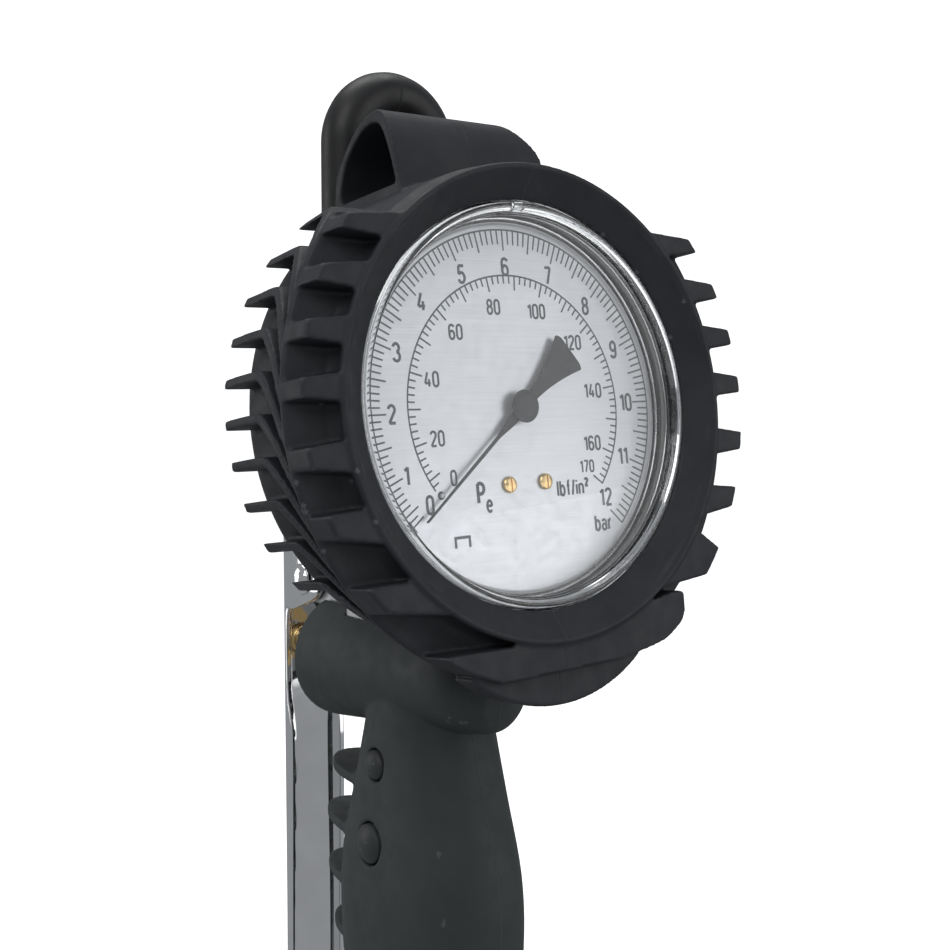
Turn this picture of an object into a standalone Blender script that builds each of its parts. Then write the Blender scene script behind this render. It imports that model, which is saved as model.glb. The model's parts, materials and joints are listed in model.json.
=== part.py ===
"""Hand-held tyre inflator gun with a dial gauge in a finned rubber boot.

Sizes are in millimetres and become metres where a mesh is made. They are given from the centre of the
dial's face: X to the right seen from the front, Y to the rear, Z up, with the grip upright. The model
frame then stands the gun on its inlet face, centred, with +Z up.
The boot frame leans back with the gauge; the dial frame is also turned a little in its case.
"""

import math

import bmesh
import bpy
from mathutils import Matrix, Vector

MM = 0.001
GAP = 0.3                      # running and seating gap between neighbouring pieces

# Where the dial's centre stands over the inlet face, and how the gauge leans and is clocked
DIAL_HEIGHT = 205.0
DIAL_FORWARD = 34.15
GAUGE_LEAN = 7.0
DIAL_CLOCKING = 1.4

# Gauge
CASE_R = 40.0
CASE_WALL = 1.2
DIAL_R = 35.8
DIAL_THICK = 0.8
LENS_R = 38.2
STEM_Z = -26.0
STEM_THREAD_R = 6.5
TUBE_MEAN_R = 29.0
TUBE_FRONT = 12.0
TUBE_REAR = 20.0

# Gauge movement
PIVOT_DROP = 20.15             # arbor centre to sector pivot
PINION_TEETH = 10
GEAR_RATIO = 7
PINION_TIP_R = 2.7
PINION_ROOT_R = 1.8
SECTOR_TIP_R = 17.75
SECTOR_ROOT_R = 16.9
SECTOR_TEETH = 10
TAIL_LENGTH = 5.0
TIP_POINT = (26.8, -11.1)      # the tube tip's pin
POINTER_REST = 219.0
NEEDLE_LENGTH = 32.0
TAIL_SPAN = 16.6

# Boot
BOOT_R = 45.5
BOOT_STEPS = 40
BOOT_FACE = -10.0
RIM_R = 52.6
RIM_TOP = 34.6
TOOTH_ROOT_R = 43.0
TOOTH_R = 52.4
TOOTH_FRONT = -9.3
TOOTH_BACK = -1.9
TOOTH_EDGES = [                # top and bottom edge height, at the root and at the tip
    (34.0, 28.8, 33.0, 30.2),
    (25.1, 19.7, 24.0, 20.95),
    (15.6, 10.2, 14.6, 11.35),
    (6.0, 0.6, 4.85, 1.45),
    (-5.5, -11.5, -6.8, -10.45),
    (-17.2, -24.0, -18.1, -22.2),
    (-30.1, -37.5, -30.75, -35.5),
]
TOOTH_LAST_RIGHT = (-24.9, -37.5, -30.3, -35.5)
UPPER_LIP_EDGES = (-44.05, -50.3)
UPPER_LIP_RIGHT = [(-8.0, -44.05), (7.0, -43.6), (16.0, -41.2), (22.0, -39.3), (30.9, -37.9),
                   (31.8, -41.0), (31.1, -43.5), (28.0, -46.0), (24.4, -47.5), (15.3, -49.3)]
UPPER_LIP_FRONT = -9.0
LOWER_LIP_R = 33.5
LOWER_LIP_Z = -22.9
LOWER_LIP_TOP = -49.0
LOWER_LIP_FRONT = -6.8
FIN_THICK = 1.8
FIN_TOP = 37.0
FIN_PITCH = 7.52
FIN_COUNT = 10
FIN_EDGE_COUNT = 36
FIN_LINE = [(21.0, 0.0), (9.0, 0.2), (6.6, -0.7), (4.4, -3.0), (2.4, -5.8), (0.2, -10.4), (-2.6, -17.0)]
TUNNEL_HALF = 18.5
TUNNEL_OUTER = [(6.3, 40.0), (8.0, 45.7), (9.6, 54.3), (13.2, 59.1), (21.0, 57.3), (28.7, 50.6),
                (30.6, 45.4), (31.0, 40.9)]
TUNNEL_INNER = [(8.7, 43.9), (10.2, 50.0), (12.2, 55.0), (14.6, 56.8), (19.3, 56.2), (25.3, 51.9),
                (28.2, 46.5), (28.5, 43.9)]
TUNNEL_CORNER = [(9.6, 59.6), (13.3, 57.6), (17.4, 53.3), (18.6, 49.0), (20.0, 49.0), (20.0, 62.0),
                 (9.6, 62.0)]

# Valve body, grip and lever
BARREL_Z = -57.5
BARREL_R = 11.5
BARREL_FRONT = 16.0
BARREL_REAR = 63.5
BARREL_TAPER = [(11.5, 58.0), (10.4, 42.0), (8.2, 24.0), (7.2, BARREL_FRONT)]
BARREL_BORE_R = 7.0
BARREL_BORE_FRONT = 24.0
CAP_FACE = 65.6
CAP_HEX = 13.0                 # across flats
BUTTON_BACK = 74.0
SLEEVE_R = 14.2
SLEEVE_SECTIONS = [            # depth, centre height, half width, half height
    (62.5, -57.5, 12.4, 12.4),
    (61.9, -57.5, 13.7, 13.7),
    (60.7, -57.5, SLEEVE_R, SLEEVE_R),
    (45.0, -56.6, 13.5, 13.2),
    (30.0, -55.65, 13.0, 12.35),
    (20.0, -55.05, 12.6, 11.75),
    (14.0, -54.8, 12.2, 11.3),
    (10.0, -55.4, 11.0, 10.2),
    (7.6, -56.8, 8.8, 8.3),
    (6.4, -58.4, 6.4, 6.2),
    (5.6, -60.0, 3.8, 3.8),
]
HANDLE_Y = 29.5
CORE_HALF = (8.0, 10.0)
CORE_BOTTOM = -191.7
HANDLE_BOTTOM = -190.0
HANDLE_SECTIONS = [            # height, half width, half depth
    (-60.0, 11.8, 13.0),
    (-68.0, 12.0, 15.5),
    (-81.0, 13.0, 19.5),
    (-97.0, 14.5, 24.0),
    (-112.0, 14.8, 24.6),
    (-130.0, 14.5, 21.8),
    (-150.0, 14.0, 18.6),
    (-172.0, 14.3, 17.0),
    (-186.0, 15.6, 18.6),
    (HANDLE_BOTTOM, 15.0, 18.0),
]
HANDLE_POWER = 2.3
RIB_THICK = 2.2
RIB_HALF = 10.0
RIB_TOP = -81.4
RIB_PITCH = 12.1
RIB_ROOT = 42.0
RIB_TIPS = [63.3, 66.4, 66.0, 63.0, 59.0, 54.5]
PLUGS = {"upper": (-75.0, 3.15, 12.3), "lower": (-91.5, 4.2, 13.9)}
PLUG_Y = 32.0
LEVER_PIVOT = (0.0, 70.0, -41.0)
LEVER_HALF = 7.25
LEVER_SHEET = 1.5
LEVER_SECTIONS = [             # height, back of the web, front edge of the cheeks
    (-28.0, 79.2, 76.0),
    (-29.6, 80.0, 68.5),
    (-31.6, 80.0, 64.8),
    (-34.5, 80.0, 62.8),
    (-38.5, 80.0, 62.3),
    (-42.0, 80.0, 62.6),
    (-44.6, 80.0, 64.6),
    (-46.6, 80.0, 69.0),
    (-48.4, 80.0, 74.0),
    (-50.6, 80.0, 77.3),
    (-68.0, 80.0, 77.5),
    (-74.0, 80.0, 76.4),
    (-79.0, 80.0, 75.6),
    (-95.0, 80.0, 75.7),
    (-120.0, 80.0, 76.2),
    (-142.0, 80.3, 76.6),
    (-160.0, 81.2, 77.8),
    (-169.0, 82.4, 79.3),
    (-174.5, 83.6, 81.0),
]
HOOK_Y = 44.0
HOOK_LEG_X = 11.0
HOOK_R = 5.0
HOOK_ARCH_Z = 54.2
HOOK_FOOT_Z = -24.7
HEAD_TOP = -5.0
HEAD_HALF = 19.0
OUTLET_Z = -15.0
OUTLET_FACE = 68.0
INLET_FACE = -DIAL_HEIGHT
PORT_R = 5.72                  # minor radius of a G1/4 female thread
PORT_HEX = 19.0                # across flats

# Materials: base colour, roughness, metallic
MATERIALS = {
    "boot_rubber": ((0.022, 0.024, 0.030), 0.62, 0.0),
    "hook_rubber": ((0.012, 0.012, 0.014), 0.50, 0.0),
    "grip_rubber": ((0.045, 0.052, 0.046), 0.60, 0.0),
    "plug_rubber": ((0.030, 0.034, 0.031), 0.45, 0.0),
    "lens_clear": ((0.90, 0.94, 0.95), 0.04, 0.0),
    "seal_rubber": ((0.015, 0.015, 0.015), 0.55, 0.0),
    "dial_silver": ((0.78, 0.79, 0.78), 0.35, 0.3),
    "pointer_black": ((0.02, 0.03, 0.04), 0.35, 0.0),
    "steel": ((0.55, 0.55, 0.56), 0.30, 1.0),
    "brass": ((0.78, 0.57, 0.24), 0.28, 1.0),
    "chrome": ((0.86, 0.87, 0.88), 0.06, 1.0),
    "cast_alloy": ((0.52, 0.53, 0.54), 0.45, 1.0),
    "bronze_filter": ((0.60, 0.42, 0.22), 0.70, 1.0),
}

# Turns that carry a shape's local +Z, or a flat outline's plane, into the model
TURNS = {
    "Z": Matrix.Identity(4),
    "Y": Matrix.Rotation(math.radians(-90), 4, "X"),
    "X": Matrix.Rotation(math.radians(90), 4, "Y"),
    "-X": Matrix.Rotation(math.radians(-90), 4, "Y"),
}
PLANES = {
    "XY": Matrix.Identity(4),
    "XZ": Matrix.Rotation(math.radians(90), 4, "X"),
    "YZ": Matrix(((0, 0, 1, 0), (1, 0, 0, 0), (0, 1, 0, 0), (0, 0, 0, 1))),
}


# ---------------------------------------------------------------- scene and placing

def clear_scene():
    for obj in list(bpy.data.objects):
        bpy.data.objects.remove(obj, do_unlink=True)


def new_collection(name):
    collection = bpy.data.collections.new(name)
    bpy.context.scene.collection.children.link(collection)
    return collection


def make_materials():
    for name, (colour, roughness, metallic) in MATERIALS.items():
        material = bpy.data.materials.new(name)
        material.use_nodes = True
        shader = material.node_tree.nodes["Principled BSDF"]
        shader.inputs["Base Color"].default_value = (*colour, 1.0)
        shader.inputs["Roughness"].default_value = roughness
        shader.inputs["Metallic"].default_value = metallic
        material.diffuse_color = (*colour, 1.0)


def frame(name, parent=None, centre=(0, 0, 0), turn=None):
    """An empty that carries pieces; centre is in millimetres in the parent's frame."""
    empty = bpy.data.objects.new(name, None)
    empty.empty_display_size = 0.01
    PARTS.objects.link(empty)
    empty.parent = parent
    empty.matrix_local = Matrix.Translation(Vector(centre) * MM) @ (turn or Matrix.Identity(4))
    return empty


def place(obj, parent, centre=(0, 0, 0), turn=None):
    obj.parent = parent
    obj.matrix_local = Matrix.Translation(Vector(centre) * MM) @ (turn or Matrix.Identity(4))
    return obj


def mesh_object(name, mesh):
    obj = bpy.data.objects.new(name, mesh)
    PARTS.objects.link(obj)
    return obj


def finish(obj, material):
    """Give a piece its material and smooth shading with crisp edges."""
    obj.data.materials.append(bpy.data.materials[material])
    obj.data.shade_smooth()
    obj.data.set_sharp_from_angle(angle=math.radians(35))
    return obj


# ---------------------------------------------------------------- shapes

def turned(name, profile, parent, centre=(0, 0, 0), axis="Y", steps=40, closed=True, turn=0.0):
    """A turned shape. The profile holds (radius, height along the axis) and runs down its outer side.

    A closed profile is a ring; an open one starts and ends on the axis.
    """
    mesh = bpy.data.meshes.new(name)
    points = [(radius * MM, 0.0, height * MM) for radius, height in profile]
    edges = [(index, index + 1) for index in range(len(points) - 1)]
    if closed:
        edges.append((len(points) - 1, 0))
    mesh.from_pydata(points, edges, [])
    obj = mesh_object(name, mesh)
    screw = obj.modifiers.new("Turn", "SCREW")
    screw.axis = "Z"
    screw.angle = math.tau
    screw.steps = steps
    screw.render_steps = steps
    screw.use_merge_vertices = True
    screw.merge_threshold = 0.00001
    screw.use_smooth_shade = True
    return place(obj, parent, centre, TURNS[axis] @ Matrix.Rotation(math.radians(turn), 4, "Z"))


def cylinder(name, radius, low, high, parent, centre=(0, 0, 0), axis="Y", sides=24, turn=0.0):
    """A cylinder along an axis through centre, from low to high along it."""
    bm = bmesh.new()
    bmesh.ops.create_cone(bm, cap_ends=True, segments=sides, radius1=radius * MM, radius2=radius * MM,
                          depth=(high - low) * MM)
    bmesh.ops.rotate(bm, cent=(0, 0, 0), matrix=Matrix.Rotation(math.radians(turn), 3, "Z"),
                     verts=bm.verts)
    bmesh.ops.translate(bm, vec=(0, 0, (high + low) / 2 * MM), verts=bm.verts)
    mesh = bpy.data.meshes.new(name)
    bm.to_mesh(mesh)
    bm.free()
    return place(mesh_object(name, mesh), parent, centre, TURNS[axis])


def hexagon(name, across_flats, low, high, parent, centre=(0, 0, 0), axis="Y"):
    return cylinder(name, across_flats / math.sqrt(3), low, high, parent, centre, axis, sides=6)


def box(name, low, high, parent):
    bm = bmesh.new()
    bmesh.ops.create_cube(bm, size=1.0)
    size = Vector(high) - Vector(low)
    middle = (Vector(high) + Vector(low)) / 2
    bmesh.ops.scale(bm, vec=size * MM, verts=bm.verts)
    bmesh.ops.translate(bm, vec=middle * MM, verts=bm.verts)
    mesh = bpy.data.meshes.new(name)
    bm.to_mesh(mesh)
    bm.free()
    return place(mesh_object(name, mesh), parent)


def curve_to_mesh(curve_object):
    """Replace a curve object by a welded mesh object of the same shape."""
    name = curve_object.name
    graph = bpy.context.evaluated_depsgraph_get()
    mesh = bpy.data.meshes.new_from_object(curve_object.evaluated_get(graph))
    matrix = curve_object.matrix_world.copy()
    bpy.data.objects.remove(curve_object, do_unlink=True)
    bm = bmesh.new()
    bm.from_mesh(mesh)
    bmesh.ops.remove_doubles(bm, verts=bm.verts, dist=0.000005)
    bmesh.ops.recalc_face_normals(bm, faces=bm.faces)
    bm.to_mesh(mesh)
    bm.free()
    obj = mesh_object(name, mesh)
    obj.matrix_world = matrix
    return obj


def add_spline(curve, points, cyclic):
    spline = curve.splines.new("POLY")
    spline.points.add(len(points) - 1)
    for target, point in zip(spline.points, points):
        spot = Vector(point) * MM
        target.co = (*spot, 0.0, 1.0) if len(spot) == 2 else (*spot, 1.0)
    spline.use_cyclic_u = cyclic


def prisms(name, groups, low, high, parent, plane="XZ", centre=(0, 0, 0)):
    """Flat outlines given thickness from low to high across their plane.

    Each group is a list of outlines: the first is the edge, the others are holes in it.
    Across the plane means +Y for XZ, +X for YZ and +Z for XY.
    """
    curve = bpy.data.curves.new(name, "CURVE")
    curve.dimensions = "2D"
    curve.fill_mode = "BOTH"
    curve.extrude = (high - low) / 2 * MM
    for group in groups:
        for outline in group:
            add_spline(curve, outline, True)
    obj = bpy.data.objects.new(name, curve)
    PARTS.objects.link(obj)
    obj = curve_to_mesh(obj)
    middle = (high + low) / 2
    if plane == "XZ":
        offset = (0, middle, 0)
    elif plane == "YZ":
        offset = (middle, 0, 0)
    else:
        offset = (0, 0, middle)
    return place(obj, parent, Vector(centre) + Vector(offset), PLANES[plane])


def prism(name, outline, low, high, parent, plane="XZ", holes=(), centre=(0, 0, 0)):
    return prisms(name, [[outline, *holes]], low, high, parent, plane, centre)


def wire(name, points, radius, parent, resolution=2, stretch=(1, 1, 1)):
    """A round wire through points; stretch flattens or widens its section along the axes."""
    curve = bpy.data.curves.new(name, "CURVE")
    curve.dimensions = "3D"
    curve.bevel_depth = radius * MM
    curve.bevel_resolution = resolution
    curve.use_fill_caps = True
    add_spline(curve, points, False)
    obj = bpy.data.objects.new(name, curve)
    PARTS.objects.link(obj)
    obj = curve_to_mesh(obj)
    obj.data.transform(Matrix.Diagonal((*stretch, 1.0)))
    return place(obj, parent)


def loft(name, sections, parent):
    """A solid through rings of points that all have the same count; the rings run downwards."""
    bm = bmesh.new()
    rings = [[bm.verts.new(Vector(point) * MM) for point in section] for section in sections]
    count = len(rings[0])
    for upper, lower in zip(rings, rings[1:]):
        for index in range(count):
            after = (index + 1) % count
            bm.faces.new((upper[index], upper[after], lower[after], lower[index]))
    bm.faces.new(rings[0])
    bm.faces.new(rings[-1])
    bmesh.ops.recalc_face_normals(bm, faces=bm.faces)
    mesh = bpy.data.meshes.new(name)
    bm.to_mesh(mesh)
    bm.free()
    return place(mesh_object(name, mesh), parent)


def boolean(obj, tool, operation, solver="EXACT"):
    modifier = obj.modifiers.new(operation.title(), "BOOLEAN")
    modifier.operation = operation
    modifier.solver = solver
    modifier.object = tool
    PARTS.objects.unlink(tool)
    CUTTERS.objects.link(tool)
    tool.hide_render = True
    tool.display_type = "WIRE"
    return obj


def cut(obj, *tools, solver="EXACT"):
    for tool in tools:
        boolean(obj, tool, "DIFFERENCE", solver)
    return obj


def join(obj, *tools, solver="EXACT"):
    for tool in tools:
        boolean(obj, tool, "UNION", solver)
    return obj


# ---------------------------------------------------------------- outlines

def circle(radius, centre=(0.0, 0.0), count=24):
    angles = [math.tau * index / count for index in range(count)]
    return [(centre[0] + radius * math.cos(angle), centre[1] + radius * math.sin(angle))
            for angle in angles]


def arc(radius, start, end, count, centre=(0.0, 0.0)):
    """Points along an arc, angles in degrees, both ends included."""
    angles = [math.radians(start + (end - start) * index / (count - 1)) for index in range(count)]
    return [(centre[0] + radius * math.cos(angle), centre[1] + radius * math.sin(angle))
            for angle in angles]


def turn_points(points, degrees):
    matrix = Matrix.Rotation(math.radians(degrees), 2)
    return [tuple(matrix @ Vector(point)) for point in points]


def smooth_line(points, steps):
    """A Catmull-Rom line through points, with steps pieces between each two."""
    padded = [points[0], *points, points[-1]]
    line = []
    for index in range(len(points) - 1):
        a, b, c, d = (Vector(point) for point in padded[index:index + 4])
        for step in range(steps):
            t = step / steps
            line.append(tuple(0.5 * (2 * b + (c - a) * t + (2 * a - 5 * b + 4 * c - d) * t ** 2
                                     + (3 * b - a - 3 * c + d) * t ** 3)))
    line.append(tuple(points[-1]))
    return line


def ribbon(points, thickness):
    """Outline of a strip of even thickness along a line of points."""
    left = []
    right = []
    for index, point in enumerate(points):
        before = Vector(points[max(index - 1, 0)])
        after = Vector(points[min(index + 1, len(points) - 1)])
        run = (after - before).normalized()
        side = Vector((-run.y, run.x)) * thickness / 2
        left.append(tuple(Vector(point) + side))
        right.append(tuple(Vector(point) - side))
    return left + right[::-1]


def tooth_points(angle, root, tip, half_root, half_tip):
    """Four points of one gear tooth, angles in degrees, going anticlockwise."""
    corners = [(root, -half_root), (tip, -half_tip), (tip, half_tip), (root, half_root)]
    return [(radius * math.cos(math.radians(angle + offset)),
             radius * math.sin(math.radians(angle + offset))) for radius, offset in corners]


def superellipse(half_x, half_y, power, count):
    points = []
    for index in range(count):
        angle = math.tau * index / count
        cosine = math.cos(angle)
        sine = math.sin(angle)
        points.append((math.copysign(abs(cosine) ** (2 / power), cosine) * half_x,
                       math.copysign(abs(sine) ** (2 / power), sine) * half_y))
    return points


# ---------------------------------------------------------------- boot

def boot_core(boot):
    """The wall round the case, its back lip and the dished front lip."""
    case = CASE_R + GAP
    profile = [(43.6, 24.2), (45.0, 23.3), (BOOT_R, 21.8), (BOOT_R, -4.6), (44.2, -6.5), (43.9, -7.7),
               (44.9, -8.4), (44.9, -9.5), (44.2, BOOT_FACE), (38.6, -5.8), (38.6, -5.0),
               (case, -5.0), (case, 19.4), (37.8, 22.3), (36.0, 22.3), (36.0, 24.2)]
    return turned("gauge_boot", profile, boot, steps=BOOT_STEPS)


def boot_rim(boot):
    profile = [(42.0, 3.6), (45.9, 2.0), (47.5, 0.3), (50.0, -0.9), (52.3, -1.5), (RIM_R, -2.3),
               (52.2, -2.9), (50.5, -3.2), (48.0, -3.9), (45.9, -4.9), (42.0, -6.2)]
    rim = turned("boot_rim", profile, boot, steps=BOOT_STEPS, turn=180 / BOOT_STEPS)
    return cut(rim, box("rim_top_cut", (-60, -20, RIM_TOP), (60, 20, 70), boot))


def boot_teeth(boot):
    """Blocks round both sides of the lip, each narrower at its tip.

    The lowest one on the right is the wider of the pair.
    """
    groups = []
    for side, last in ((1, TOOTH_LAST_RIGHT), (-1, TOOTH_EDGES[-1])):
        for top, bottom, tip_top, tip_bottom in [*TOOTH_EDGES[:-1], last]:
            high = math.degrees(math.asin(tip_top / TOOTH_R))
            low = math.degrees(math.asin(tip_bottom / TOOTH_R))
            outline = [(math.sqrt(TOOTH_ROOT_R ** 2 - top ** 2), top), *arc(TOOTH_R, high, low, 3),
                       (math.sqrt(TOOTH_ROOT_R ** 2 - bottom ** 2), bottom)]
            groups.append([[(side * x, z) for x, z in outline]])
    return prisms("boot_teeth", groups, TOOTH_FRONT, TOOTH_BACK, boot)


def boot_fins(boot):
    """Thin fins behind the rim that sweep down as they come forward."""
    groups = []
    for index in range(FIN_COUNT):
        height = FIN_TOP - index * FIN_PITCH
        groups.append([ribbon([(y, height + rise) for y, rise in FIN_LINE], FIN_THICK)])
    fins = prisms("boot_fins", groups, -60, 60, boot, "YZ")
    front = [(x, -2.1, z) for x, z in superellipse(51.7, 51.7, 2.0, FIN_EDGE_COUNT)]
    back = [(x, 20.3, z) for x, z in superellipse(51.7, 47.8, 2.0, FIN_EDGE_COUNT)]
    envelope = loft("fin_envelope", [front, back], boot)
    cut(envelope, cylinder("fin_root", BOOT_R - 2.2, -30, 30, boot, sides=BOOT_STEPS))
    return boolean(fins, envelope, "INTERSECT", "MANIFOLD")


def boot_tunnel(boot):
    """The loop on top, open from side to side, with its foot inside the boot.

    Its right end is rounded off towards the side.
    """
    outer = smooth_line(TUNNEL_OUTER, 2) + [(23.0, 40.9), (6.9, 40.9)]
    inner = smooth_line(TUNNEL_INNER, 2)
    tunnel = prism("boot_tunnel", outer, -TUNNEL_HALF, TUNNEL_HALF, boot, "YZ", [inner])
    return cut(tunnel, prism("tunnel_corner", TUNNEL_CORNER, 0, 40, boot), solver="MANIFOLD")


def boot_lips(boot):
    """Two lips under the dial that carry the teeth round the bottom."""
    top, low = (math.degrees(math.asin(height / TOOTH_R)) for height in UPPER_LIP_EDGES)
    upper = UPPER_LIP_RIGHT + [(-x, z) for x, z in arc(TOOTH_R, low, top, 5)]
    edge = math.degrees(math.asin((LOWER_LIP_TOP - LOWER_LIP_Z) / LOWER_LIP_R))
    lower = arc(LOWER_LIP_R, edge, -180.0 - edge, 13, (0.0, LOWER_LIP_Z))
    return (prism("boot_lip_upper", upper, UPPER_LIP_FRONT, TOOTH_BACK, boot),
            prism("boot_lip_lower", lower, LOWER_LIP_FRONT, TOOTH_BACK + 0.2, boot))


def gauge_boot(model, boot):
    body = boot_core(boot)
    saddle = cylinder("boot_saddle", SLEEVE_R + 0.35, 5.2, 80, model, (0, 0, BARREL_Z), sides=48)
    join(body, boot_rim(boot), boot_teeth(boot), boot_fins(boot), boot_tunnel(boot), *boot_lips(boot),
         solver="MANIFOLD")
    cut(body, saddle, solver="MANIFOLD")
    finish(body, "boot_rubber")


# ---------------------------------------------------------------- gauge

def gauge_case(boot):
    wall = CASE_R - CASE_WALL
    profile = [(0, 22.0), (37.4, 22.0), (CASE_R, 19.3), (CASE_R, -4.6), (wall, -4.6), (wall, -0.3),
               (36.2, -0.3), (36.2, 1.4), (wall, 1.4), (wall, 18.7), (36.8, 20.8), (0, 20.8)]
    case = turned("gauge_case", profile, boot, closed=False)
    cut(case, cylinder("case_stem_hole", 6.6, 15, 30, boot, (0, 0, STEM_Z)))
    finish(case, "steel")


def gauge_lens(dial):
    profile = [(0, -2.5), (36.4, -2.5), (36.4, -2.4), (LENS_R, -2.4), (LENS_R, -5.9), (37.8, -6.4),
               (36.9, -6.4), (36.5, -5.9), (36.5, -4.2), (0, -4.2)]
    finish(turned("gauge_lens", profile, dial, closed=False), "lens_clear")


def ring(name, inner, outer, low, high, parent, material, centre=(0, 0, 0), axis="Y", steps=24):
    profile = [(outer, high), (outer, low), (inner, low), (inner, high)]
    finish(turned(name, profile, parent, centre, axis, steps), material)


def clocked(x, z):
    """A point of the dial frame, given in the boot frame."""
    return turn_points([(x, z)], DIAL_CLOCKING)[0]


SCREW_SPOTS = {"left": (-4.45, -14.7), "right": (4.45, -14.7)}
STOP_SPOT = (-20.4, -15.5)


def dial_plate(dial):
    holes = [circle(1.3, count=16), circle(0.8, STOP_SPOT, 12)]
    holes += [circle(0.8, spot, 12) for spot in SCREW_SPOTS.values()]
    finish(prism("dial_plate", circle(DIAL_R, count=48), 0, DIAL_THICK, dial, holes=holes),
           "dial_silver")
    finish(cylinder("stop_pin", 0.5, -0.85, 0.75, dial, (STOP_SPOT[0], 0, STOP_SPOT[1]), sides=12),
           "steel")
    for side, (x, z) in SCREW_SPOTS.items():
        profile = [(0, 2.2), (0.5, 2.2), (0.5, -0.3), (1.6, -0.3), (1.5, -0.7), (1.0, -0.95), (0, -1.0)]
        screw = turned("dial_screw_" + side, profile, dial, (x, 0, z), steps=12, closed=False)
        finish(screw, "brass")


def pointer(axis):
    """Needle, hub and arbor, on the empty that turns with them."""
    needle = [(2.0, 0.75), (NEEDLE_LENGTH, 0.1), (NEEDLE_LENGTH, -0.1), (2.0, -0.75), (-3.0, -0.75),
              (-TAIL_SPAN + 0.8, -4.25), (-TAIL_SPAN, 0.0), (-TAIL_SPAN + 0.8, 4.25), (-3.0, 0.75)]
    collar = circle(2.6, count=16)
    blade = prism("pointer", turn_points(needle, POINTER_REST), -1.45, -1.05, axis)
    join(blade, prism("pointer_collar", collar, -1.47, -1.03, axis))
    cut(blade, cylinder("pointer_hole", 2.0, -3, 1, axis, sides=20))
    finish(blade, "pointer_black")
    profile = [(1.7, -0.4), (1.7, -1.75), (3.2, -1.75), (3.1, -2.0), (2.7, -2.15), (0, -2.15)]
    hub = turned("pointer_hub", [(0, -0.4), *profile], axis, steps=16, closed=False)
    cut(hub, cylinder("hub_bore", 1.0, -1.4, 1, axis, sides=16))
    finish(hub, "brass")
    pinion = []
    for index in range(PINION_TEETH):
        angle = -90 + index * 360 / PINION_TEETH
        pinion += tooth_points(angle, PINION_ROOT_R, PINION_TIP_R, 9.0, 5.5)
    arbor = cylinder("pointer_arbor", 0.7, -1.1, 10.8, axis, sides=16)
    join(arbor, prism("pinion", pinion, 4.8, 7.8, axis))
    finish(arbor, "brass")


def movement_outline():
    return [(-4.5, -23.6), (4.5, -23.6), (6.0, -20.0), (18.0, -11.0), (18.0, -5.5), (5.0, 3.5),
            (2.5, 4.8), (-2.5, 4.8), (-5.0, 3.5), (-18.0, -5.5), (-18.0, -11.0), (-6.0, -20.0)]


def movement(boot):
    holes = [circle(1.0, count=12), circle(1.1, (0, -PIVOT_DROP), 12)]
    screws = [circle(0.8, clocked(x, z), 12) for x, z in SCREW_SPOTS.values()]
    finish(prism("movement_front_plate", movement_outline(), 1.4, 2.4, boot, holes=holes + screws),
           "brass")
    finish(prism("movement_rear_plate", movement_outline(), 10.0, 11.0, boot, holes=holes), "brass")
    for side, x in (("left", -15.5), ("right", 15.5)):
        finish(cylinder("movement_pillar_" + side, 1.2, 2.7, 9.7, boot, (x, 0, -8.0), sides=16), "brass")


def sector_gear(axis):
    """Toothed sector, tail and shaft in one, on the empty at its pivot."""
    pitch = 360 / (GEAR_RATIO * PINION_TEETH)
    first = 90 - pitch * (SECTOR_TEETH - 1.5)
    teeth = []
    for index in range(SECTOR_TEETH):
        teeth += tooth_points(first + index * pitch, SECTOR_ROOT_R, SECTOR_TIP_R, 1.25, 0.85)
    rim = [(x * 0.84, z * 0.84) for x, z in (teeth[-1], teeth[0])]
    web = [(-2.9, 1.6), (-2.9, -1.0), (-1.6, -2.8), (-1.6, -6.2), (1.6, -6.2), (1.6, -2.8), (2.9, -1.0)]
    outline = teeth + [rim[0]] + web + [(4.0, 1.6), rim[1]]
    plate = prism("sector_gear", outline, 5.6, 6.8, axis)
    shaft = cylinder("sector_shaft", 0.8, 1.6, 10.8, axis, sides=16)
    tail_pin = cylinder("sector_tail_pin", 0.5, 6.5, 8.3, axis, (0, 0, -TAIL_LENGTH), sides=12)
    finish(join(plate, shaft, tail_pin), "brass")


def tube_link(axis):
    """Slotted link from the sector's tail to the tube's tip, on the empty at the tail."""
    reach = Vector(TIP_POINT) - Vector((0, -PIVOT_DROP - TAIL_LENGTH))
    angle = math.degrees(math.atan2(reach.y, reach.x))
    far = reach.length + 0.2
    near = far - 3.6
    outline = arc(1.7, 90, 270, 7) + arc(1.9, -90, 90, 7, (far, 0))
    slot = arc(1.0, 90, 270, 7, (near, 0)) + arc(1.0, -90, 90, 7, (far, 0))
    holes = [turn_points(circle(0.8, count=12), angle), turn_points(slot, angle)]
    finish(prism("tube_link", turn_points(outline, angle), 7.2, 8.0, axis, holes=holes), "brass")


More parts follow.
